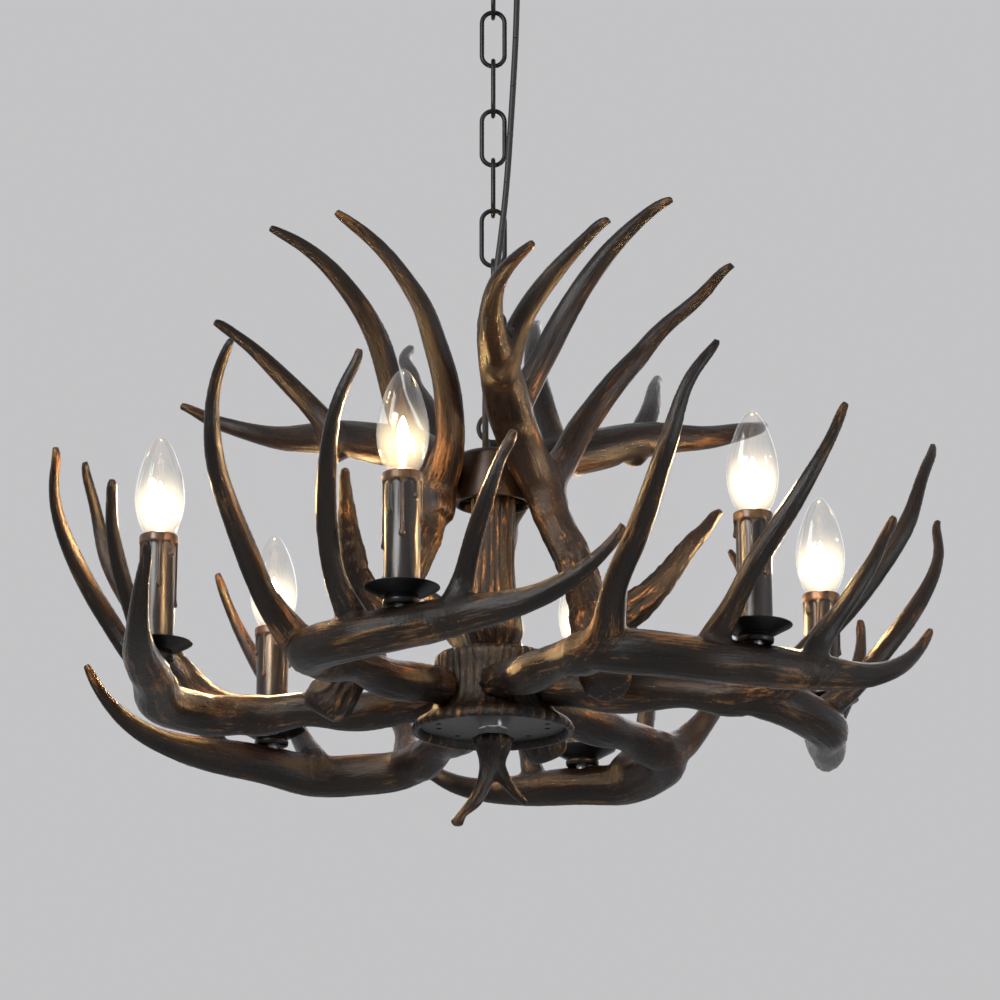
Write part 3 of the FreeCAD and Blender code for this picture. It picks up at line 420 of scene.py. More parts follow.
def soft_corners(points, radius, steps):
    """A closed outline with each corner rounded off."""
    points = [np.array(point, float) for point in points]
    rounded = []
    for index, corner in enumerate(points):
        before = points[index - 1]
        after = points[(index + 1) % len(points)]
        back = before - corner
        on = after - corner
        cut = min(radius, 0.4 * np.linalg.norm(back), 0.4 * np.linalg.norm(on))
        start = corner + back / np.linalg.norm(back) * cut
        end = corner + on / np.linalg.norm(on) * cut
        for share in np.linspace(0, 1, steps):
            rounded.append((1 - share) ** 2 * start + 2 * share * (1 - share) * corner + share**2 * end)
    return rounded


def store(mesh, name, values):
    """Keeps a number or a vector for each point of a mesh, for its material."""
    values = np.asarray(values, np.float32)
    kind = "FLOAT_VECTOR" if values.ndim == 2 else "FLOAT"
    attribute = mesh.attributes.new(name, kind, "POINT")
    attribute.data.foreach_set("vector" if values.ndim == 2 else "value", values.ravel())


def points_of(mesh):
    spots = np.empty(len(mesh.vertices) * 3)
    mesh.vertices.foreach_get("co", spots)
    return spots.reshape(-1, 3)


def set_points(mesh, spots):
    mesh.vertices.foreach_set("co", np.asarray(spots, np.float32).ravel())
    mesh.update()


def grain(spots, seed):
    """Smooth noise between -1 and 1 at points, one unit between its cells."""
    base = np.floor(spots).astype(np.int64)
    part = spots - base
    part = part * part * (3 - 2 * part)
    total = 0
    for corner in range(8):
        step = np.array([corner & 1, corner >> 1 & 1, corner >> 2 & 1])
        cell = base + step
        mixed = cell[:, 0] * 73856093 ^ cell[:, 1] * 19349663 ^ cell[:, 2] * 83492791
        mixed = (mixed + seed * 2654435761) & 0xFFFFFFFF
        mixed = (mixed ^ (mixed >> 13)) * 1274126177 & 0xFFFFFFFF
        value = (mixed ^ (mixed >> 16)) / 0x7FFFFFFF - 1
        weight = np.prod(np.where(step, part, 1 - part), axis=1)
        total = total + value * weight
    return total


# ----------------------------------------------------------------------------- antler castings

# The castings' horns, as in the construction: x, y, height and radius in millimetres, about the
# fixture's axis, from the butt to the tip.
LOWER_CASTING = {
    "butt and back tine": [
        (-20, -5.5, 3.5, 13), (-34, -22, 3, 13.2), (-58, -51, -0.5, 13.5), (-84, -82, -2.5, 13.2),
        (-110, -117, -5, 13.8), (-130, -143, -3, 13), (-144, -157, 9, 10.6),
        (-155, -164.5, 23, 8.9), (-167, -180, 45, 8.2), (-177, -195, 67, 7.7),
        (-186.5, -208, 89.5, 7), (-192.5, -219.5, 112.5, 6.4), (-194, -227.5, 136, 5.3),
        (-190.5, -237, 158.5, 4.3), (-181.8, -247.6, 178.5, 2.3),
    ],
    "beam": [
        (-113, -122, -4.5, 12.8), (-127, -148, -7.5, 14.4), (-124, -172, -10, 15),
        (-113, -194, -12, 15), (-97, -213, -12.8, 14.9), (-67.5, -229, -10, 14.3),
        (-45, -243.5, -8.8, 13.6), (-18, -261, -7, 11.4), (8, -274, -3.5, 9), (31, -284, 4.5, 7.4),
        (46, -290, 13.5, 6), (60, -294.5, 25.5, 4.6), (72, -299, 42, 2.3),
    ],
    "middle tine": [
        (-97, -209, -10, 12), (-99.5, -212.5, 2, 10.6), (-109, -228, 18, 8),
        (-114.6, -241.5, 36.5, 7.2), (-117.2, -255.5, 55.5, 7), (-117.7, -269.5, 75, 6.7),
        (-116.6, -282, 94.5, 5.9), (-113.4, -292.3, 114, 4.8), (-106.2, -299, 134, 4.1),
        (-98, -303.4, 154.6, 2.3),
    ],
    "front tine": [
        (-35, -251, -8, 11), (-31.5, -256, 4, 9.4), (-28, -260, 15.5, 7.8),
        (-25.3, -267.5, 28, 6.8), (-22, -275, 40.5, 6.5), (-18, -281.5, 53, 6.1),
        (-13.7, -287.5, 65.5, 5.5), (-9.3, -292.3, 78.5, 4.6), (-4, -295.7, 91, 4),
        (1.7, -298.4, 104, 2.3),
    ],
}
LOWER_CANDLE = (-67.3, -228.1, 4.5)
LOWER_SETTING = [
    (2, -0.5, -0.5), (3.5, 1.5, -1), (-4, 2, -1), (0, 0, 0), (0, -0.5, 1), (-2, -3, 1.5),
]
UPPER_CASTING = {
    "trunk": [
        (79, -93, -176, 11), (78, -89.5, -170, 16.2), (74.5, -82, -158, 16),
        (70.2, -73.4, -139, 15.2), (67.1, -53.2, -111.7, 14.4), (61.5, -38, -84, 13.5),
        (52, -30.5, -58, 13), (42, -28, -36, 12.8), (38, -25, -15, 13.2), (44.5, -13, 4, 11.7),
        (55, -3, 24, 10), (67, 2, 45.7, 9.4), (81.5, 4, 67.2, 8.8), (98, 5, 87.7, 7.9),
        (115, 2.4, 107.4, 6.7), (134, -3.4, 124.3, 5.7), (153.2, -12.7, 139.5, 4.9),
        (171.4, -26.4, 153.3, 2.5),
    ],
    "stem": [
        (41, -22, -36, 11.5), (38, -24.4, -20.7, 14), (27.5, -32, 0.9, 15), (17.5, -45.5, 19, 15.6),
        (11.1, -66, 31.7, 15.7), (7.7, -91.3, 39.7, 15), (3.9, -117, 48.2, 13.4),
        (0.6, -142.5, 54.3, 11.7), (-1.4, -166, 57.5, 9.8), (-1.6, -186.7, 61.6, 8.4),
        (0, -205.7, 67.9, 7.2), (4.7, -223.4, 74.6, 6), (14, -238.6, 81.5, 4.7),
        (26.5, -251.8, 88.8, 2.4),
    ],
    "near tine": [
        (12, -62, 22, 11), (16.5, -61.5, 36, 11), (28.5, -63.5, 58.5, 9.3), (40, -64.2, 81.4, 8.7),
        (51.3, -66, 102.8, 8.3), (63.5, -71.5, 122, 7.7), (76.9, -79.2, 139.1, 6.9),
        (91.7, -88.2, 153.5, 5.9), (107.1, -99.2, 164.5, 4.8), (124.7, -110.9, 171.9, 2.5),
    ],
    "far tine": [
        (4, -118, 38, 10), (7.4, -124, 45, 11), (12.7, -131.8, 57.9, 9.5), (18.5, -140.3, 71, 8.3),
        (26.4, -149, 82.8, 7.6), (36, -157.2, 93.7, 6.9), (46.4, -164.8, 104.4, 6.1),
        (57.1, -172.6, 114.1, 5.1), (67.1, -180.7, 122.2, 4.3), (78.5, -188.1, 128.4, 2.4),
    ],
    "brow tine": [
        (62, -44, -108, 12), (72, -39.5, -110.5, 13.8), (89.5, -42, -109, 13),
        (102.5, -44.5, -101.5, 11.4), (113.2, -43.3, -90.4, 9.8), (122.8, -40.4, -78.6, 8.6),
        (131.7, -37.7, -65.8, 7.5), (141, -34, -53.2, 6.2), (150.7, -29.2, -41.2, 4.9),
        (160.2, -23.2, -29.3, 2.6),
    ],
}
UPPER_TURNS = (-120, 0, 120)
FINIAL_CASTING = {
    "burr and left tine": [
        (0, 0, 0, 12.4), (0, 0, -4, 14), (0, 0, -9, 12.8), (-0.5, -1, -16, 10.2),
        (-1.5, -2, -23, 8.6), (-4.5, -4, -31, 6.3), (-8.5, -6, -41, 5.3), (-14.5, -8, -51, 4.7),
        (-22, -9.5, -59.5, 3.6), (-28.3, -10, -64.8, 2.2),
    ],
    "right tine": [
        (0, 0, -17, 8), (3, -0.5, -24, 6.8), (7.5, -1.5, -31, 4.9), (12.5, -2.5, -38.3, 3.7),
        (18, -3, -44.5, 2.8), (23.8, -3.5, -49.6, 1.8),
    ],
}


class Horn:
    """The middle line of one horn, placed in the object, with its thickness and frames."""

    def __init__(self, stations, placing):
        rows = through(stations, 8)
        self.spots = np.array([placing @ Vector(row[:3] * MM) for row in rows])
        self.radius = np.maximum(rows[:, 3], 0.5) * MM
        ahead = np.gradient(self.spots, axis=0)
        self.ahead = ahead / np.linalg.norm(ahead, axis=1)[:, None]
        steps = np.linalg.norm(np.diff(self.spots, axis=0), axis=1)
        self.along = np.concatenate([[0], np.cumsum(steps)])
        self.frames()

    def frames(self):
        """Sideways directions carried along the line without twist."""
        side = Vector(self.ahead[0]).orthogonal().normalized()
        sides = []
        before = Vector(self.ahead[0])
        for ahead in self.ahead:
            heading = Vector(ahead)
            side = before.rotation_difference(heading) @ side
            sides.append(np.array(side))
            before = heading
        self.side = np.array(sides)
        self.other = np.cross(self.ahead, self.side)

    def locate(self, spots):
        """For each point: how far it lies above the horn's skin, and its place along and round."""
        nearest = np.zeros(len(spots), int)
        best = np.full(len(spots), 9.0)
        for index in range(len(self.spots)):
            above = np.linalg.norm(spots - self.spots[index], axis=1) - self.radius[index]
            closer = above < best
            best[closer] = above[closer]
            nearest[closer] = index
        off = spots - self.spots[nearest]
        along = self.along[nearest] + np.einsum("ij,ij->i", off, self.ahead[nearest])
        across = np.einsum("ij,ij->i", off, self.side[nearest])
        up = np.einsum("ij,ij->i", off, self.other[nearest])
        share = self.along[nearest] / self.along[-1]
        return best, along, across, up, self.radius[nearest], share


def ramp(value, start, end):
    """0 at start and before, 1 at end and beyond."""
    return np.clip((value - start) / (end - start), 0, 1)


def faded(value, start, end):
    """1 at start and before, 0 at end and beyond, smooth between."""
    share = 1 - ramp(value, start, end)
    return share * share * (3 - 2 * share)


def cleaned_copy(node, fineness):
    """A copy of a solid's skin, remade in even small cells that melt its forks together."""
    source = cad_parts[node]
    mesh = source.data.copy()
    mesh.transform(source.matrix_world)
    shape = bmesh.new()
    shape.from_mesh(mesh)
    bmesh.ops.remove_doubles(shape, verts=shape.verts, dist=1e-6)
    shape.to_mesh(mesh)
    shape.free()
    rough = bpy.data.objects.new(node + "_rough", mesh)
    bpy.context.collection.objects.link(rough)
    cells = rough.modifiers.new("cells", "REMESH")
    cells.mode = "VOXEL"
    cells.voxel_size = fineness
    bpy.context.view_layer.update()
    done = bpy.data.meshes.new_from_object(rough.evaluated_get(bpy.context.evaluated_depsgraph_get()))
    bpy.data.objects.remove(rough)
    return done


def softened(mesh, weights, passes):
    """Moves each point towards the middle of its neighbours, by its weight, some times over."""
    ends = np.empty(len(mesh.edges) * 2, int)
    mesh.edges.foreach_get("vertices", ends)
    first, second = ends.reshape(-1, 2).T
    spots = points_of(mesh)
    count = np.bincount(first, minlength=len(spots)) + np.bincount(second, minlength=len(spots))
    for _ in range(passes):
        total = np.zeros_like(spots)
        np.add.at(total, first, spots[second])
        np.add.at(total, second, spots[first])
        spots += (total / np.maximum(count, 1)[:, None] - spots) * weights[:, None]
    set_points(mesh, spots)


def skin_normals(mesh):
    normals = np.empty(len(mesh.vertices) * 3, np.float32)
    mesh.vertex_normals.foreach_get("vector", normals)
    return normals.reshape(-1, 3)


def grow_bark(name, node, casting, placing, bark_zone, material):
    """An antler's skin: softened forks, grooves along the grain, lumps, and bark where it grows."""
    use = look("antler")
    horns = {key: Horn(stations, placing) for key, stations in casting.items()}
    mesh = cleaned_copy(node, use.fineness)
    spots = points_of(mesh)
    found = {key: horn.locate(spots) for key, horn in horns.items()}
    gaps = np.array([above for above, *_ in found.values()])
    nearest = gaps.min(axis=0)
    slim = np.choose(gaps.argmin(axis=0), [where[4] for where in found.values()])
    softened(mesh, 0.5 * ramp(slim, 0.0025, 0.0055), use.soften)
    relief = np.zeros(len(spots))
    barky = np.zeros(len(spots))
    straight = np.zeros((len(spots), 3))
    shares = np.zeros(len(spots))
    for number, (key, (above, along, across, up, radius, share)) in enumerate(found.items()):
        weight = np.exp(-(above - nearest) / 0.0015)
        angle = np.arctan2(up, across)
        ring = np.stack([np.cos(angle), np.sin(angle)], axis=1)
        stout = ramp(radius, 0.003, 0.011)
        zone = bark_zone(key, along, share)

        def pattern(lengthwise, crosswise, seed):
            """Noise with so many cells to a metre along the horn, and 2 pi times so many round it."""
            return grain(np.column_stack([along * lengthwise, ring * crosswise]), number + seed)

        grooves = 1 - 2 * np.abs(pattern(22, 3.1, 0))
        veins = pattern(60, 9, 7)
        lumps = pattern(28, 1.1, 17)
        cracks = 1 - 2 * np.abs(pattern(45, 5.5, 29))
        pearls = pattern(190, 204 * radius[:, None], 31)
        smooth_part = use.groove * (0.65 * grooves + 0.35 * veins) * (0.25 + 0.75 * stout)
        swell = use.lump * lumps * stout
        bark_part = use.bark * (0.55 * cracks + 0.45 * pearls - 0.15) * np.clip(radius / 0.012, 0.15, 1)
        relief += weight * (smooth_part * (1 - zone) + swell + bark_part * zone)
        barky += weight * zone
        straight += weight[:, None] * np.column_stack([along + number * 0.37, across, up])
        shares += weight
    relief /= shares
    barky /= shares
    straight /= shares[:, None]
    # Skin that lies inside a horn's own radius was cut for a seat, and stays flat.
    flat_seat = 1 - ramp(nearest, -0.0006, 0)
    set_points(mesh, points_of(mesh) + skin_normals(mesh) * (relief * (1 - flat_seat))[:, None])
    store(mesh, "straight", straight)
    store(mesh, "relief", np.clip(0.5 + relief / (3.0 * use.groove) * (1 - 0.6 * barky), 0, 1))
    store(mesh, "bark", barky)
    store(mesh, "tip", 1 - ramp(slim, 0.003, 0.007))
    dress(as_object(name, mesh, material), node, "fixture")


def lower_bark(key, along, share):
    """Bark on the butt that lies on the hub, and a little on the elbow."""
    if key == "butt and back tine":
        return faded(along, 0.035, 0.075) * 0.9 + 0.25 * faded(abs(along - 0.17), 0.01, 0.04)
    return 0.12 * faded(share, 0.0, 0.35)


def upper_bark(key, along, share):
    """Bark over the burr, the lower trunk and the brow tine."""
    if key == "trunk":
        return faded(along, 0.11, 0.2)
    if key == "brow tine":
        return faded(share, 0.7, 1.0)
    return 0.15 * faded(share, 0.0, 0.4)


def finial_bark(key, along, share):
    return faded(along, 0.012, 0.03) if key.startswith("burr") else 0 * share


def lower_placing(number):
    """Where a lower antler's casting lies: set about its seat, then turned round the axis."""
    turn, droop, lean = (math.radians(angle) for angle in LOWER_SETTING[number])
    outwards = Vector((LOWER_CANDLE[0], LOWER_CANDLE[1], 0)).normalized()
    sideways = UP.cross(outwards)
    seat = Vector((-37, -26, 0)) * MM
    tilt = Quaternion(outwards, lean) @ Quaternion(sideways, droop)
    about_seat = Matrix.Translation(seat) @ tilt.to_matrix().to_4x4() @ Matrix.Translation(-seat)
    carried = Matrix.Translation((0, 0, hub_seat()))
    return Matrix.Rotation(math.radians(60 * number) + turn, 4, "Z") @ carried @ about_seat


def hub_seat():
    """The height of the lower antlers' seat line on the hub."""
    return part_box("hub_drum")[1].z - 32 * MM


def middle_height(node):
    low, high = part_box(node)
    return (low.z + high.z) / 2


# --------------------------------------------------------------------------------- operators


class CHANDELIER_OT_stage(bpy.types.Operator):
    """Sets up the camera, the plain floor and the soft studio light"""

    bl_idname = "chandelier.stage"
    bl_label = "Stage"

    # Which of the light path's answers is which.
    CAMERA_RAY, GLOSSY_RAY, TRANSMISSION_RAY = 0, 3, 6

    def execute(self, context):
        use = look("stage")
        scene = context.scene
        scene.view_settings.view_transform = "Standard"
        self.add_camera(scene, use)
        self.add_floor(use)
        self.add_lights(scene, use)
        return {"FINISHED"}

    def add_camera(self, scene, use):
        data = bpy.data.cameras.new("camera")
        data.lens = use.lens
        data.sensor_width = 36
        data.clip_end = 50
        camera = bpy.data.objects.new("camera", data)
        camera.location = (0, -use.distance, -use.drop)
        camera.rotation_euler = (math.pi / 2 + use.pitch, 0, -use.turn)
        scene.collection.objects.link(camera)
        scene.camera = camera

    def add_floor(self, use):
        mesh = bpy.data.meshes.new("floor")
        half = 9.0
        corners = [(-half, -half, 0), (half, -half, 0), (half, half, 0), (-half, half, 0)]
        mesh.from_pydata(corners, [], [(0, 1, 2, 3)])
        finish = new_finish("pale_floor")
        dust = finish.noise(spot_vector(finish), 9, 3, 0.5)
        tone = finish.blend(dust, (0.78, 0.78, 0.78, 1), (0.82, 0.82, 0.82, 1))
        surface = finish.paint(Base_Color=tone, Roughness=0.7)
        pale = finish.shader("Emission", rgba(use.backdrop), 1)
        seen = finish.node("ShaderNodeLightPath")[self.CAMERA_RAY]
        mixed = finish.shader("MixShader", seen * 0.7, surface, pale)
        floor = as_object("floor", mesh, finish.show(mixed))
        floor.location.z = -use.floor_drop

    def add_lights(self, scene, use):
        world = Finish(bpy.data.worlds.new("studio"))
        backdrop = world.shader("Background", rgba(use.backdrop))
        light = world.shader("Background", (0.93, 0.96, 1.0, 1), use.sky)
        rays = world.node("ShaderNodeLightPath")
        either = rays[self.CAMERA_RAY].maths("MAXIMUM", rays[self.CAMERA_RAY], rays[self.TRANSMISSION_RAY])
        seen = either.maths("MAXIMUM", either, rays[self.GLOSSY_RAY])
        mixed = world.shader("MixShader", seen, light, backdrop)
        scene.world = world.show(mixed, "ShaderNodeOutputWorld")
        target = Vector((0, 0, -0.5))
        lamps = (
            ("key", (-1.5, -2.2, 0.5), 1.2, use.key),
            ("fill", (2.2, -1.4, -0.9), 1.0, use.key * 0.35),
            ("rim", (0.6, 2.2, 0.4), 1.2, use.key * 0.15),
        )
        for name, spot, wide, power in lamps:
            data = bpy.data.lights.new(name, "AREA")
            data.shape = "SQUARE"
            data.size = wide
            data.energy = power
            lamp = bpy.data.objects.new(name, data)
            lamp.location = spot
            lamp.rotation_euler = (target - Vector(spot)).to_track_quat("-Z", "Y").to_euler()
            scene.collection.objects.link(lamp)


# The cord's way down beside the chain, in millimetres, as in the construction.
CORD_WAY = [
    (18, 0, -19.5), (17, -1, -66), (15, -3.5, -108), (12.6, -6.5, -150), (10, -9.2, -193),
    (5.8, -12.2, -236), (0.4, -14, -276), (-3.6, -15, -315), (-5.6, -15.8, -354),
    (-5.4, -15.2, -390), (-5.47, -15.04, -402),
]
CORD_RADIUS = 2.25 * MM


class CHANDELIER_OT_cord(bpy.types.Operator):
    """Hangs the supply cord beside the chain, in stretches that end at the middles of the links"""

    bl_idname = "chandelier.cord"
    bl_label = "Cord"

    def execute(self, context):
        material = rubber_finish("cord_sheath", look("metal").cord)
        line = self.route()
        bodies = ["ceiling"] + [f"link_{n}" for n in LINKS] + ["fixture"]
        middles = [middle_height(f"chain_link_{n}") for n in LINKS]
        cuts = [line[0][2]] + middles + [line[-1][2]]
        for index in range(len(bodies) - 1):
            self.stretch(index, line, cuts[index], cuts[index + 1], bodies, material)
        return {"FINISHED"}

    def route(self):
        curve = bpy.data.curves.new("cord_route", "CURVE")
        curve.dimensions = "3D"
        curve.resolution_u = 24
        spline = curve.splines.new("NURBS")
        spline.points.add(len(CORD_WAY) - 1)
        for point, spot in zip(spline.points, CORD_WAY):
            point.co = (*(Vector(spot) * MM), 1)
        spline.order_u = 3
        spline.use_endpoint_u = True
        holder = bpy.data.objects.new("cord_route", curve)
        context = bpy.context
        context.collection.objects.link(holder)
        context.view_layer.update()
        mesh = bpy.data.meshes.new_from_object(holder)
        spots = points_of(mesh)
        bpy.data.objects.remove(holder)
        return spots if spots[0][2] > spots[-1][2] else spots[::-1]

    def stretch(self, index, line, top, foot, bodies, material):
        """One stretch of cord, between the middles of two neighbouring pieces of the chain."""
        inside = [spot for spot in line if foot < spot[2] < top]
        spots = [self.at(line, top)] + inside + [self.at(line, foot)]
        rings = []
        angles = angles_round(20)
        heading = np.gradient(np.array(spots), axis=0)
        for spot, ahead in zip(spots, heading):
            ahead = ahead / np.linalg.norm(ahead)
            side = np.cross(ahead, (0, 1, 0))
            side /= np.linalg.norm(side)
            other = np.cross(ahead, side)
            ring = np.outer(np.cos(angles), side) + np.outer(np.sin(angles), other)
            rings.append(spot + CORD_RADIUS * ring)
        piece = as_object(f"cord_{index + 1}", grid_mesh("cord", rings), material)
        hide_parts("power_cord")
        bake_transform(piece)

    def at(self, line, height):
        """The route's point at a height."""
        heights = line[::-1, 2]
        return np.array([np.interp(height, heights, line[::-1, axis]) for axis in range(3)])


class CHANDELIER_OT_lower_antlers(bpy.types.Operator):
    """Dresses the six lower antlers"""

    bl_idname = "chandelier.lower_antlers"
    bl_label = "Lower antlers"

    def execute(self, context):
        material = antler_finish()
        for number in ARMS:
            node = f"lower_antler_{number}"
            placing = lower_placing(number - 1)
            grow_bark(f"low_antler_{number}", node, LOWER_CASTING, placing, lower_bark, material)
        return {"FINISHED"}


class CHANDELIER_OT_upper_antlers(bpy.types.Operator):
    """Dresses the three upper antlers"""

    bl_idname = "chandelier.upper_antlers"
    bl_label = "Upper antlers"

    def execute(self, context):
        material = bpy.data.materials["antler_resin"]
        for number, turn in zip(CROWNS, UPPER_TURNS):
            carried = Matrix.Translation((0, 0, middle_height("collar_cup")))
            placing = Matrix.Rotation(math.radians(turn), 4, "Z") @ carried
            node = f"upper_antler_{number}"
            grow_bark(f"crown_antler_{number}", node, UPPER_CASTING, placing, upper_bark, material)
        return {"FINISHED"}


class CHANDELIER_OT_finial(bpy.types.Operator):
    """Dresses the forked stub under the hub"""

    bl_idname = "chandelier.finial"
    bl_label = "Finial"

    def execute(self, context):
        material = bpy.data.materials["antler_resin"]
        placing = Matrix.Translation((0, 0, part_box("finial")[1].z))
        grow_bark("forked_stub", "finial", FINIAL_CASTING, placing, finial_bark, material)
        return {"FINISHED"}


def barked_lathe(name, node, profile, material, ribs, outside):
    """A turned casting with upright bark ribs on the share of its profile that is its outside."""
    around = 240
    depth = 1.6 * MM
    rows = through(profile, 5) * MM
    rings = lathe_rings(rows, around)
    flat = rings.reshape(-1, 3)
    angle = np.arctan2(flat[:, 1], flat[:, 0])
    reach = np.hypot(flat[:, 0], flat[:, 1])
    circle = np.column_stack([np.cos(angle), np.sin(angle)])
    waver = grain(np.column_stack([flat[:, 2] * 30, circle * 2]), 3) * 1.6
    rib = np.abs(np.sin(angle * ribs / 2 + waver))
    crack = grain(np.column_stack([flat[:, 2] * 90, circle * ribs / 4]), 5)
    relief = depth * (0.7 * rib**0.6 + 0.3 * crack - 0.5)
    outer = np.repeat(np.arange(len(rows)) < len(rows) * outside, around)
    move = np.where(outer, relief, 0) * np.clip(reach / 0.012, 0, 1)
    flat[:, 0] += circle[:, 0] * move
    flat[:, 1] += circle[:, 1] * move
    mesh = grid_mesh(name, flat.reshape(rings.shape), closed_rings=True)
    store(mesh, "straight", np.column_stack([flat[:, 2], circle * reach[:, None]]))
    store(mesh, "relief", np.clip(0.5 + relief / depth, 0, 1))
    store(mesh, "bark", np.full(len(flat), 0.8))
    store(mesh, "tip", np.zeros(len(flat)))
    dress(as_object(name, mesh, material), node, "fixture")


class CHANDELIER_OT_hub(bpy.types.Operator):
    """Builds the fluted hub drum, the bark column and the collar above it"""

    bl_idname = "chandelier.hub"
    bl_label = "Hub, column and collar"

    def execute(self, context):
        bark = bpy.data.materials["antler_resin"]
        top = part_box("hub_drum")[1].z / MM
        drum = [
            (6, 0), (20, 0), (35, -0.3), (39.5, -1.8), (41, -6), (40, -18.5), (40.6, -30),
            (41.5, -36), (44.6, -42), (49, -45.5), (53.5, -48), (56, -51), (56.5, -53.5),
            (56.2, -55.3), (55, -56), (53, -56), (51.6, -53.5), (50.9, -51), (50.9, -48),
            (47, -48), (40, -44), (32, -39), (32, -30), (32, -12), (30, -8), (18, -8), (6, -8),
        ]
        drum = [(r, z + top) for r, z in drum]
        barked_lathe("hub_casting", "hub_drum", drum, bark, ribs=46, outside=0.53)
        column = [
            (8, 0), (12, 0), (14.5, 2), (18, 8), (21, 16), (20, 26), (17.4, 36), (15.6, 52),
            (15, 70), (15.2, 90), (15.6, 108), (16, 120), (15, 140), (13, 142), (8, 142), (8, 100),
            (8, 50), (8, 20),
        ]
        column = [(r, z + top) for r, z in column]
        barked_lathe("column_casting", "column_sleeve", column, bark, ribs=17, outside=0.68)
        self.collar()
        return {"FINISHED"}

    def collar(self):
        bronze = metal_finish("collar_bronze", look("metal").bronze, 0.55, 0.32)
        low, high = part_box("collar_cup")
        top = high.z / MM
        foot = low.z / MM
        outline = [
            (5.1, top), (24.5, top), (27.5, top - 3), (27.5, foot), (24.3, foot),
            (24.3, top - 4), (5.1, top - 4),
        ]
        piece = lathe("collar_shell", soft_corners(outline, 1.2, 5), bronze)
        dress(piece, "collar_cup", "fixture")


class CHANDELIER_OT_candles(bpy.types.Operator):
    """Builds the six candle sleeves with their wax runs, and the pans below them"""

    bl_idname = "chandelier.candles"
    bl_label = "Candles and pans"

    # Runs of wax: direction in degrees and length down from the rim in millimetres.
    RUNS = ((8, 22), (56, 40), (101, 17), (143, 52), (190, 30), (234, 46), (281, 20), (322, 34))
    ARCH = 6.5
    SPREAD = 3.7
    SHAFT = 12
    BORE = 10.8
    WAX = 1.7

    def execute(self, context):
        bronze = candle_finish()
        black = metal_finish("pan_black", look("metal").black, 0.75, 0.28)
        for number in ARMS:
            self.sleeve(number, bronze)
            self.pan(number, black)
        return {"FINISHED"}

    def sleeve(self, number, material):
        low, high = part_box(f"candle_sleeve_{number}")
        middle = (low + high) / 2
        tall = (high.z - low.z) / MM
        shaft, bore = self.SHAFT, self.BORE
        profile = [(bore, 5), (bore, 0.4), (shaft - 0.3, 0), (shaft, 0.5)]
        profile += [(shaft, height) for height in np.linspace(1.5, tall - 1.2, 100)]
        profile += [(shaft - 0.2, tall - 0.4), (shaft - 0.7, tall), (bore + 0.4, tall - 0.1)]
        profile += [(bore, tall - 0.8), (bore, tall - 20)]
        rings = lathe_rings(np.array(profile), 144)
        flat = rings.reshape(-1, 3)
        reach = np.hypot(flat[:, 0], flat[:, 1])
        wax = self.wax(np.degrees(np.arctan2(flat[:, 1], flat[:, 0])) - 37 * number, tall - flat[:, 2])
        waver = grain(np.column_stack([flat[:, 2] * 0.05, flat[:, :2] * 0.3]), 11 + number) * 0.22
        outside = reach > bore + 0.45
        flat[:, :2] *= (1 + np.where(outside, wax + waver - 0.1, 0) / reach)[:, None]
        rings = flat.reshape(rings.shape) * MM + np.array((middle.x, middle.y, low.z))
        mesh = grid_mesh("sleeve", rings, closed_rings=True)
        store(mesh, "relief", np.clip(wax / self.WAX, 0, 1))
        piece = as_object(f"sleeve_{number}", mesh, material)
        dress(piece, f"candle_sleeve_{number}", "fixture")

    def wax(self, angle, down):
        """Thickness of the wax: a collar at the rim, arches below it, and runs between them."""
        arch = np.clip((down - self.ARCH) / self.SPREAD, 0, 1)
        thick = np.where(down < self.ARCH, 1.0, 0.0)
        for toward, long in self.RUNS:
            off = np.abs((angle - toward + 180) % 360 - 180) * math.pi / 180 * self.SHAFT
            bead = np.exp(-(((down - long + 2.2) / 2.2) ** 2))
            wide = 1.3 + self.SPREAD * (1 - np.sqrt(1 - (1 - arch) ** 2)) + 0.9 * bead
            end = np.sqrt(np.clip((long - down) / 2.2, 0, 1))
            inside = np.clip((wide * end - off) / 1.1, 0, 1)
            thick = np.maximum(thick, inside * inside * (3 - 2 * inside) * (0.78 + 0.35 * bead))
        return thick * self.WAX

    def pan(self, number, material):
        low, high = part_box(f"drip_pan_{number}")
        middle = (low + high) / 2
        outer = [
            (5.1, 0), (11.4, 0), (12.4, 1.6), (12.5, 3.4), (11.6, 5), (11.4, 5.6), (13.5, 6.1),
            (17.5, 8.3), (21.5, 10.5), (24.6, 12.2), (25, 12.8), (24.4, 13.2), (23.6, 12.9),
            (19.5, 10.4), (15.4, 8), (5.1, 7.8),
        ]
        spot = (middle.x, middle.y, low.z)
        piece = lathe(f"pan_{number}", through(outer, 3), material, spot)
        dress(piece, f"drip_pan_{number}", "fixture")


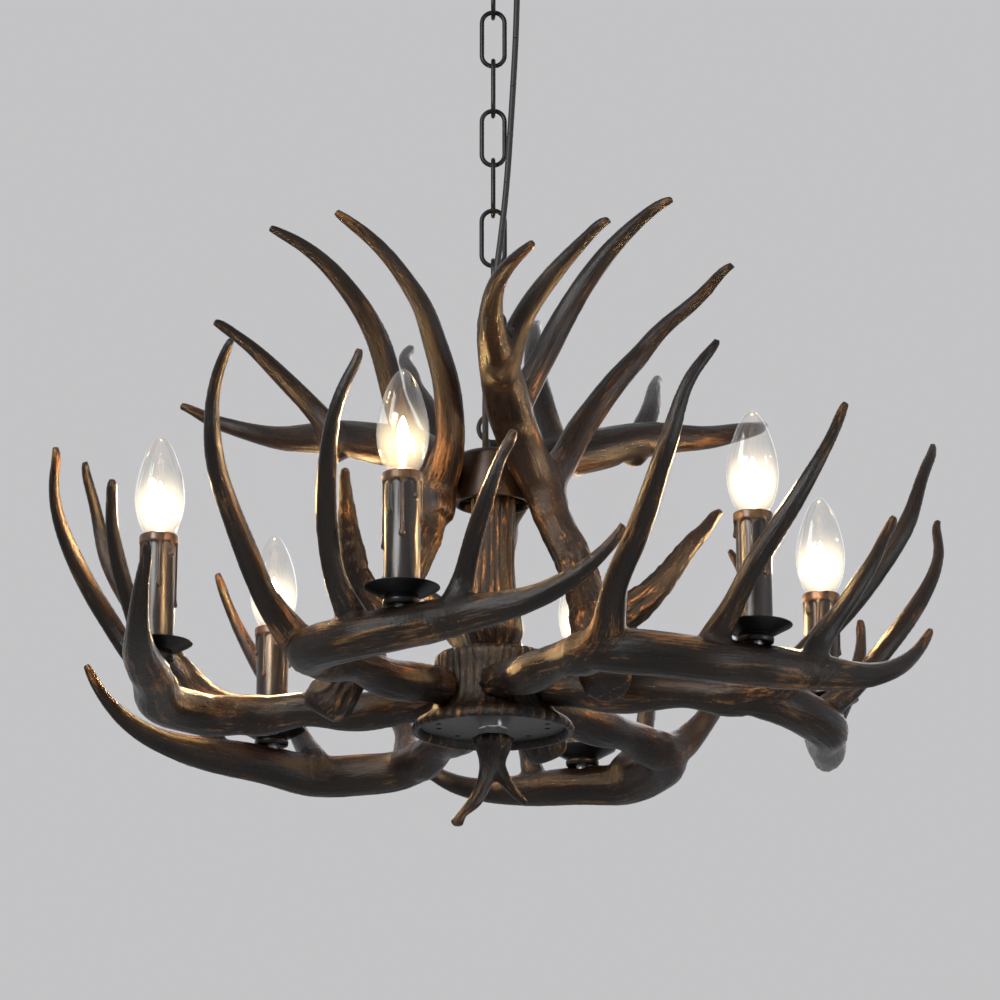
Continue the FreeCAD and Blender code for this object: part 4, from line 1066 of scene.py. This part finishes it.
class CHANDELIER_OT_bulbs(bpy.types.Operator):
    """Builds the six clear bulbs with their caps, stems and glowing cores"""

    bl_idname = "chandelier.bulbs"
    bl_label = "Bulbs"

    # The glass's height, and the middle and the width of the glow on it, in millimetres.
    TALL, GLOW_AT, GLOW_WIDE = 72, 19, 15

    def execute(self, context):
        glass = glass_finish()
        brass = metal_finish("cap_metal", (0.62, 0.56, 0.42), 1.0, 0.28)
        core = glow_finish()
        for number in ARMS:
            low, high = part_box(f"bulb_{number}")
            middle = (low + high) / 2
            base = (middle.x, middle.y, high.z - self.TALL * MM)
            parts = [self.envelope(number, base, glass), self.cap(number, base, brass)]
            parts += [self.stem(number, base, glass), self.core(number, base, core)]
            for piece in parts:
                dress(piece, f"bulb_{number}", f"lamp_{number}")
        return {"FINISHED"}

    def envelope(self, number, base, material):
        profile = [
            (6.2, -2.5), (6.8, -0.5), (8.2, 1), (11.5, 3.6), (14.3, 9.4), (16.4, 16.6), (17.4, 24),
            (17.5, 28), (17, 34.6), (15.2, 44.6), (11.9, 55.4), (8.4, 63.4), (4.6, 69.1), (2, 71.3),
            (0.15, self.TALL),
        ]
        rows = through(profile, 5)
        mesh = grid_mesh("glass", lathe_rings(rows * MM, 64) + np.array(base))
        halo = np.exp(-(((rows[:, 1] - self.GLOW_AT) / self.GLOW_WIDE) ** 2))
        store(mesh, "halo", np.repeat(halo, 64))
        return as_object(f"glass_{number}", mesh, material)

    def cap(self, number, base, material):
        threads = []
        for turn in range(7):
            height = -4 - 2.6 * turn
            threads += [(6.7, height), (6.1, height - 1.3)]
        outline = [(0.1, 0), (6.6, 0), (6.7, -2)] + threads + [(6.5, -22), (3, -25), (2.6, -27), (0.1, -27)]
        rings = lathe_rings(through(outline, 3) * MM, 48) + np.array(base)
        return as_object(f"cap_{number}", grid_mesh("cap", rings), material)

    def stem(self, number, base, material):
        profile = [(2.6, -2), (2.2, 6), (1.7, 14), (1.5, 20), (2.0, 21.5), (0.3, 22.6)]
        rings = lathe_rings(through(profile, 4) * MM, 24) + np.array(base)
        return as_object(f"stem_{number}", grid_mesh("stem", rings), material)

    def core(self, number, base, material):
        """The white-hot filament, a slim spindle above the stem."""
        profile = [(0.3, 15), (2.4, 17), (3.6, 21), (4.0, 26), (3.3, 31), (1.8, 36), (0.3, 39)]
        rings = lathe_rings(np.array(profile) * MM, 10) + np.array(base)
        return as_object(f"core_{number}", grid_mesh("core", rings), material)


class CHANDELIER_OT_chain(bpy.types.Operator):
    """Builds the chain's links"""

    bl_idname = "chandelier.chain"
    bl_label = "Chain"

    def execute(self, context):
        black = metal_finish("chain_black", look("metal").black, 0.6, 0.30)
        for number in LINKS:
            self.link(number, black)
        return {"FINISHED"}

    def link(self, number, material):
        low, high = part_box(f"chain_link_{number}")
        middle = (low + high) / 2
        wire = 1.7
        bend = 8.3
        straight = (high.z - low.z) / MM / 2 - wire - bend
        arc = np.linspace(0, math.pi, 15)
        half = np.stack([bend * np.cos(arc), straight + bend * np.sin(arc)], axis=1)
        path = np.vstack([half, -half])
        rings = []
        angles = angles_round(20)
        ahead = np.roll(path, -1, axis=0) - np.roll(path, 1, axis=0)
        for spot, way in zip(path, ahead):
            way = way / np.linalg.norm(way)
            outward = np.array([way[1], -way[0]])
            # A slight swelling at the middle of one leg, where the wire was welded.
            thick = wire * (1 + 0.12 * math.exp(-((spot[1] / 3) ** 2)) * (spot[0] > 0))
            across = thick * np.cos(angles)
            x = spot[0] + across * outward[0]
            z = spot[1] + across * outward[1]
            rings.append(np.stack([x, thick * np.sin(angles), z], axis=1))
        piece = as_object(f"link_{number}_wire", grid_mesh("link", rings, closed_rings=True), material)
        piece.data.transform(Matrix.Scale(MM, 4))
        turn = 0 if number % 2 else math.pi / 2
        piece.data.transform(Matrix.Translation(middle) @ Matrix.Rotation(turn, 4, "Z"))
        dress(piece, f"chain_link_{number}", f"link_{number}")


class CHANDELIER_OT_fittings(bpy.types.Operator):
    """Gives the construction's own pieces their finishes"""

    bl_idname = "chandelier.fittings"
    bl_label = "Fittings"

    def execute(self, context):
        use = look("metal")
        black = metal_finish("fitting_black", use.black, 0.6, 0.32)
        zinc = metal_finish("zinc", use.zinc, 0.9, 0.35)
        bright = metal_finish("bright_steel", use.bright, 1.0, 0.16, 0.05)
        plate = metal_finish("plate_enamel", use.plate, 0.5, 0.3)
        white = rubber_finish("white_moulding", (0.6, 0.58, 0.54))
        dark = rubber_finish("black_moulding", use.cord)
        finishes = {
            black: ("canopy", "canopy_loop", "collar_loop", "collar_screws"),
            zinc: (
                "ceiling_strap", "canopy_pipe", "canopy_nut", "stem_pipe", "candle_nipples",
                "arm_bolts", "antler_screws",
            ),
            bright: ("stem_nut", "stem_washer"),
            plate: ("hub_plate",),
            white: ("lamp_sockets", "terminal_block"),
            dark: ("cord_grip",),
        }
        for material, names in finishes.items():
            for name in names:
                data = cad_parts[name].data
                data.materials.clear()
                data.materials.append(material)
        return {"FINISHED"}


OPERATORS = (
    CHANDELIER_OT_stage,
    CHANDELIER_OT_cord,
    CHANDELIER_OT_lower_antlers,
    CHANDELIER_OT_upper_antlers,
    CHANDELIER_OT_finial,
    CHANDELIER_OT_hub,
    CHANDELIER_OT_candles,
    CHANDELIER_OT_bulbs,
    CHANDELIER_OT_chain,
    CHANDELIER_OT_fittings,
)


class CHANDELIER_PT_panel(bpy.types.Panel):
    """Lists the sizes, the colours and the steps that build the chandelier"""

    bl_idname = "CHANDELIER_PT_panel"
    bl_label = "Antler Chandelier"
    bl_space_type = "VIEW_3D"
    bl_region_type = "UI"
    bl_category = "Chandelier"

    def draw(self, context):
        for group in GROUPS:
            box = self.layout.box()
            values = look(short_name(group))
            for key in group.__annotations__:
                box.prop(values, key)
        for operator in OPERATORS:
            self.layout.operator(operator.bl_idname)


def register():
    for kind in (*GROUPS, *OPERATORS, CHANDELIER_PT_panel):
        bpy.utils.register_class(kind)
    for group in GROUPS:
        setattr(bpy.types.Scene, "chandelier_" + short_name(group), PointerProperty(type=group))


def unregister():
    for group in GROUPS:
        delattr(bpy.types.Scene, "chandelier_" + short_name(group))
    for kind in reversed((*GROUPS, *OPERATORS, CHANDELIER_PT_panel)):
        bpy.utils.unregister_class(kind)


def main():
    register()
    for operator in OPERATORS:
        group, name = operator.bl_idname.split(".")
        getattr(getattr(bpy.ops, group), name)()


if __name__ == "__main__":
    main()
